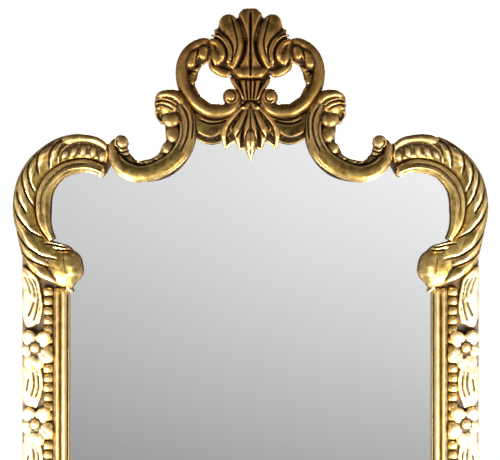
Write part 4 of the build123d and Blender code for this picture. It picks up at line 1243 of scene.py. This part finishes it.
brass = metal("aged_brass", (0.34, 0.20, 0.06), (0.80, 0.56, 0.22))
zinc = metal("zinc_plate", (0.42, 0.42, 0.40), (0.66, 0.66, 0.63), (0.3, 0.5))
leather = wood("leather", (0.05, 0.025, 0.012), (0.10, 0.05, 0.025), scale=120, stretch=1, sheen=0.7)
rubber = wood("pad_felt", (0.02, 0.017, 0.015), (0.045, 0.04, 0.035), scale=200, stretch=1, sheen=0.85)
BRASS_NODES = [f"{part}_{side}" for part in ("pivot_plate", "pivot_bush", "thrust_washer",
                                             "knob") for side in ("left", "right")]
for name in BRASS_NODES + ["stretcher_bolts"]:
    finish_node(name, brass)
for name in ("board_keepers", "joint_plates", "keeper_screws", "joint_plate_screws", "pivot_plate_screws"):
    finish_node(name, zinc)
for name in ("spacer_collar_left", "spacer_collar_right"):
    finish_node(name, leather)
finish_node("foot_pads", rubber)
for name in ("post_left", "post_right", "finial_left", "finial_right", "foot_left", "foot_right",
             "stretcher"):
    finish_node(name, stand_gilding)

# %% [markdown]
# ## Room and light
# A gilded surface shows what it reflects. Two low softboxes at the sides light the stiles, and reach the
# crest only weakly. The room is darker in front and lighter at the sides, which leaves the crest a deep
# bronze. The mirror itself reflects the wall in front of it, which is lightest just above eye height and
# darker below. The camera alone sees a plain white room: Light Path tells its rays from the others.

# %% World
world = bpy.data.worlds.new("studio")
bpy.context.scene.world = world
world.use_nodes = True
sky = world.node_tree
sky.nodes.clear()
out = sky.nodes.new("ShaderNodeOutputWorld")
direction = sky.nodes.new("ShaderNodeTexCoord")
axes = sky.nodes.new("ShaderNodeSeparateXYZ")
sky.links.new(direction.outputs["Generated"], axes.inputs["Vector"])
WALL_GREYS = [(0.0, 0.05), (0.26, 0.33), (0.333, 0.465), (0.408, 0.614), (0.483, 0.746), (0.533, 0.817),
              (0.60, 0.87), (0.78, 0.20)]          # from low to high, over a narrow band about the horizon
CEILING = (0.07, 0.065, 0.06)
wall = ramp(sky, span(sky, axes.outputs["Z"], -0.30, 0.30),
            [(at, (grey, grey, grey)) for at, grey in WALL_GREYS] + [(1.0, CEILING)])
window_side = span(sky, axes.outputs["X"], -0.1, 0.1, 0.84, 1.16)    # a little lighter to one side
tint = sky.nodes.new("ShaderNodeVectorMath")
tint.operation = "SCALE"
sky.links.new(wall, tint.inputs[0])
sky.links.new(window_side, tint.inputs["Scale"])
front_room = ramp(sky, span(sky, axes.outputs["Z"], -1.0, 1.0), [
    (0.0, (0.45, 0.42, 0.38)), (0.35, (0.22, 0.20, 0.18)), (0.49, (0.09, 0.082, 0.075)),
    (0.62, (0.17, 0.16, 0.15)),
    (0.80, (0.13, 0.12, 0.11)), (1.0, (0.10, 0.09, 0.085))])
side_room = ramp(sky, span(sky, axes.outputs["Z"], -1.0, 1.0), [
    (0.0, (0.60, 0.57, 0.52)), (0.35, (0.85, 0.82, 0.78)), (0.58, (0.80, 0.77, 0.73)),
    (0.75, (0.34, 0.32, 0.30)),
    (1.0, (0.08, 0.075, 0.07))])
sideways = span(sky, maths(sky, "ABSOLUTE", axes.outputs["X"]), 0.40, 0.85)
room = mix(sky, sideways, front_room, side_room)
ahead = span(sky, axes.outputs["Y"], -0.965, -0.984)        # 1 for directions straight out from the glass
behind = span(sky, axes.outputs["Y"], 0.35, 0.85)           # 1 towards the pale wall behind the mirror
lit = mix(sky, ahead, room, tint.outputs["Vector"])
lit = mix(sky, behind, lit, (0.30, 0.30, 0.30))
seen = node(sky, "ShaderNodeBackground", Color=(1, 1, 1, 1), Strength=1.05)
felt = node(sky, "ShaderNodeBackground", Strength=1.0)
sky.links.new(lit, felt.inputs["Color"])
path, choose = sky.nodes.new("ShaderNodeLightPath"), sky.nodes.new("ShaderNodeMixShader")
sky.links.new(path.outputs["Is Camera Ray"], choose.inputs["Fac"])
sky.links.new(felt.outputs[0], choose.inputs[1])
sky.links.new(seen.outputs[0], choose.inputs[2])
sky.links.new(choose.outputs[0], out.inputs["Surface"])


# %% Softboxes
def softbox(name, place, aim, size, watts, spread, colour=(1.0, 0.96, 0.90)):
    data = bpy.data.lights.new(name, "AREA")
    data.shape, data.size, data.size_y, data.energy, data.color = "RECTANGLE", size[0], size[1], watts, colour
    data.spread = math.radians(spread)
    lamp = bpy.data.objects.new(name, data)
    lamp.location = place
    lamp.rotation_mode = "QUATERNION"
    lamp.rotation_quaternion = (Vector(aim) - Vector(place)).to_track_quat("-Z", "Y")
    bpy.context.scene.collection.objects.link(lamp)


# the low softboxes look past the leaf's edges, so that only the rim of each beam falls on the carving
BESIDE, IN_FRONT, LOW, AIM_BESIDE, AIM_UP = 0.66, -0.52, 0.80, 0.56, 1.18
for sign, word in ((-1, "left"), (1, "right")):
    softbox(f"low_side_{word}", (sign * BESIDE, IN_FRONT, LOW), (sign * AIM_BESIDE, 0, AIM_UP),
            (0.50, 0.50), 12.8, 72)
softbox("back_fill", (0.6, 3.4, 2.6), (0, 0, 0.8), (2.5, 2.0), 70, 120, (1.0, 0.98, 0.96))

# %% Floor
FLOOR_RADIUS, FLOOR_SIDES = 6.5, 64
floor_turns = [2 * math.pi * k / FLOOR_SIDES for k in range(FLOOR_SIDES)]
floor = new_object("floor", [(FLOOR_RADIUS * math.cos(a), FLOOR_RADIUS * math.sin(a),
                              0) for a in floor_turns],
                   [tuple(range(FLOOR_SIDES))])
floor_mat, floor_tree, floor_shader = material("pale_floor", roughness=0.7)
floor_tree.links.new(ramp(floor_tree, noise(floor_tree, 2, 3),
                          [(0.3, (0.80, 0.80, 0.80)), (0.7, (0.84, 0.84, 0.84))]),
                     floor_shader.inputs["Base Color"])
floor_shader.inputs["Emission Color"].default_value = (1, 1, 1, 1)
floor_shader.inputs["Emission Strength"].default_value = 0.30       # lit evenly, as on a paper sweep
floor.data.materials.append(floor_mat)

# %% [markdown]
# ## Camera
# The view is straight on and level, from far enough away that the carving's depth hardly shows. The lens
# is long and there is no shift; the lower edge of the view cuts the leaf a little over a metre up.

# %% Camera
DISTANCE, VIEW_WIDTH, EYE = 3.2, 0.800, 1.5048
ASIDE = -0.0008                        # the middle of the view, from the leaf's middle line
view_plane = FACE_Y - 0.010            # where the view is VIEW_WIDTH wide: at the carving's mean height
camera = bpy.data.cameras.new("camera")
camera.sensor_width = 36
camera.lens = camera.sensor_width * DISTANCE / VIEW_WIDTH
eye = bpy.data.objects.new("camera", camera)
eye.location = (ASIDE, view_plane - DISTANCE, EYE)
eye.rotation_euler = (math.pi / 2, 0, 0)
bpy.context.scene.collection.objects.link(eye)
bpy.context.scene.camera = eye
bpy.context.scene.view_settings.view_transform = "Standard"
bpy.context.view_layer.update()
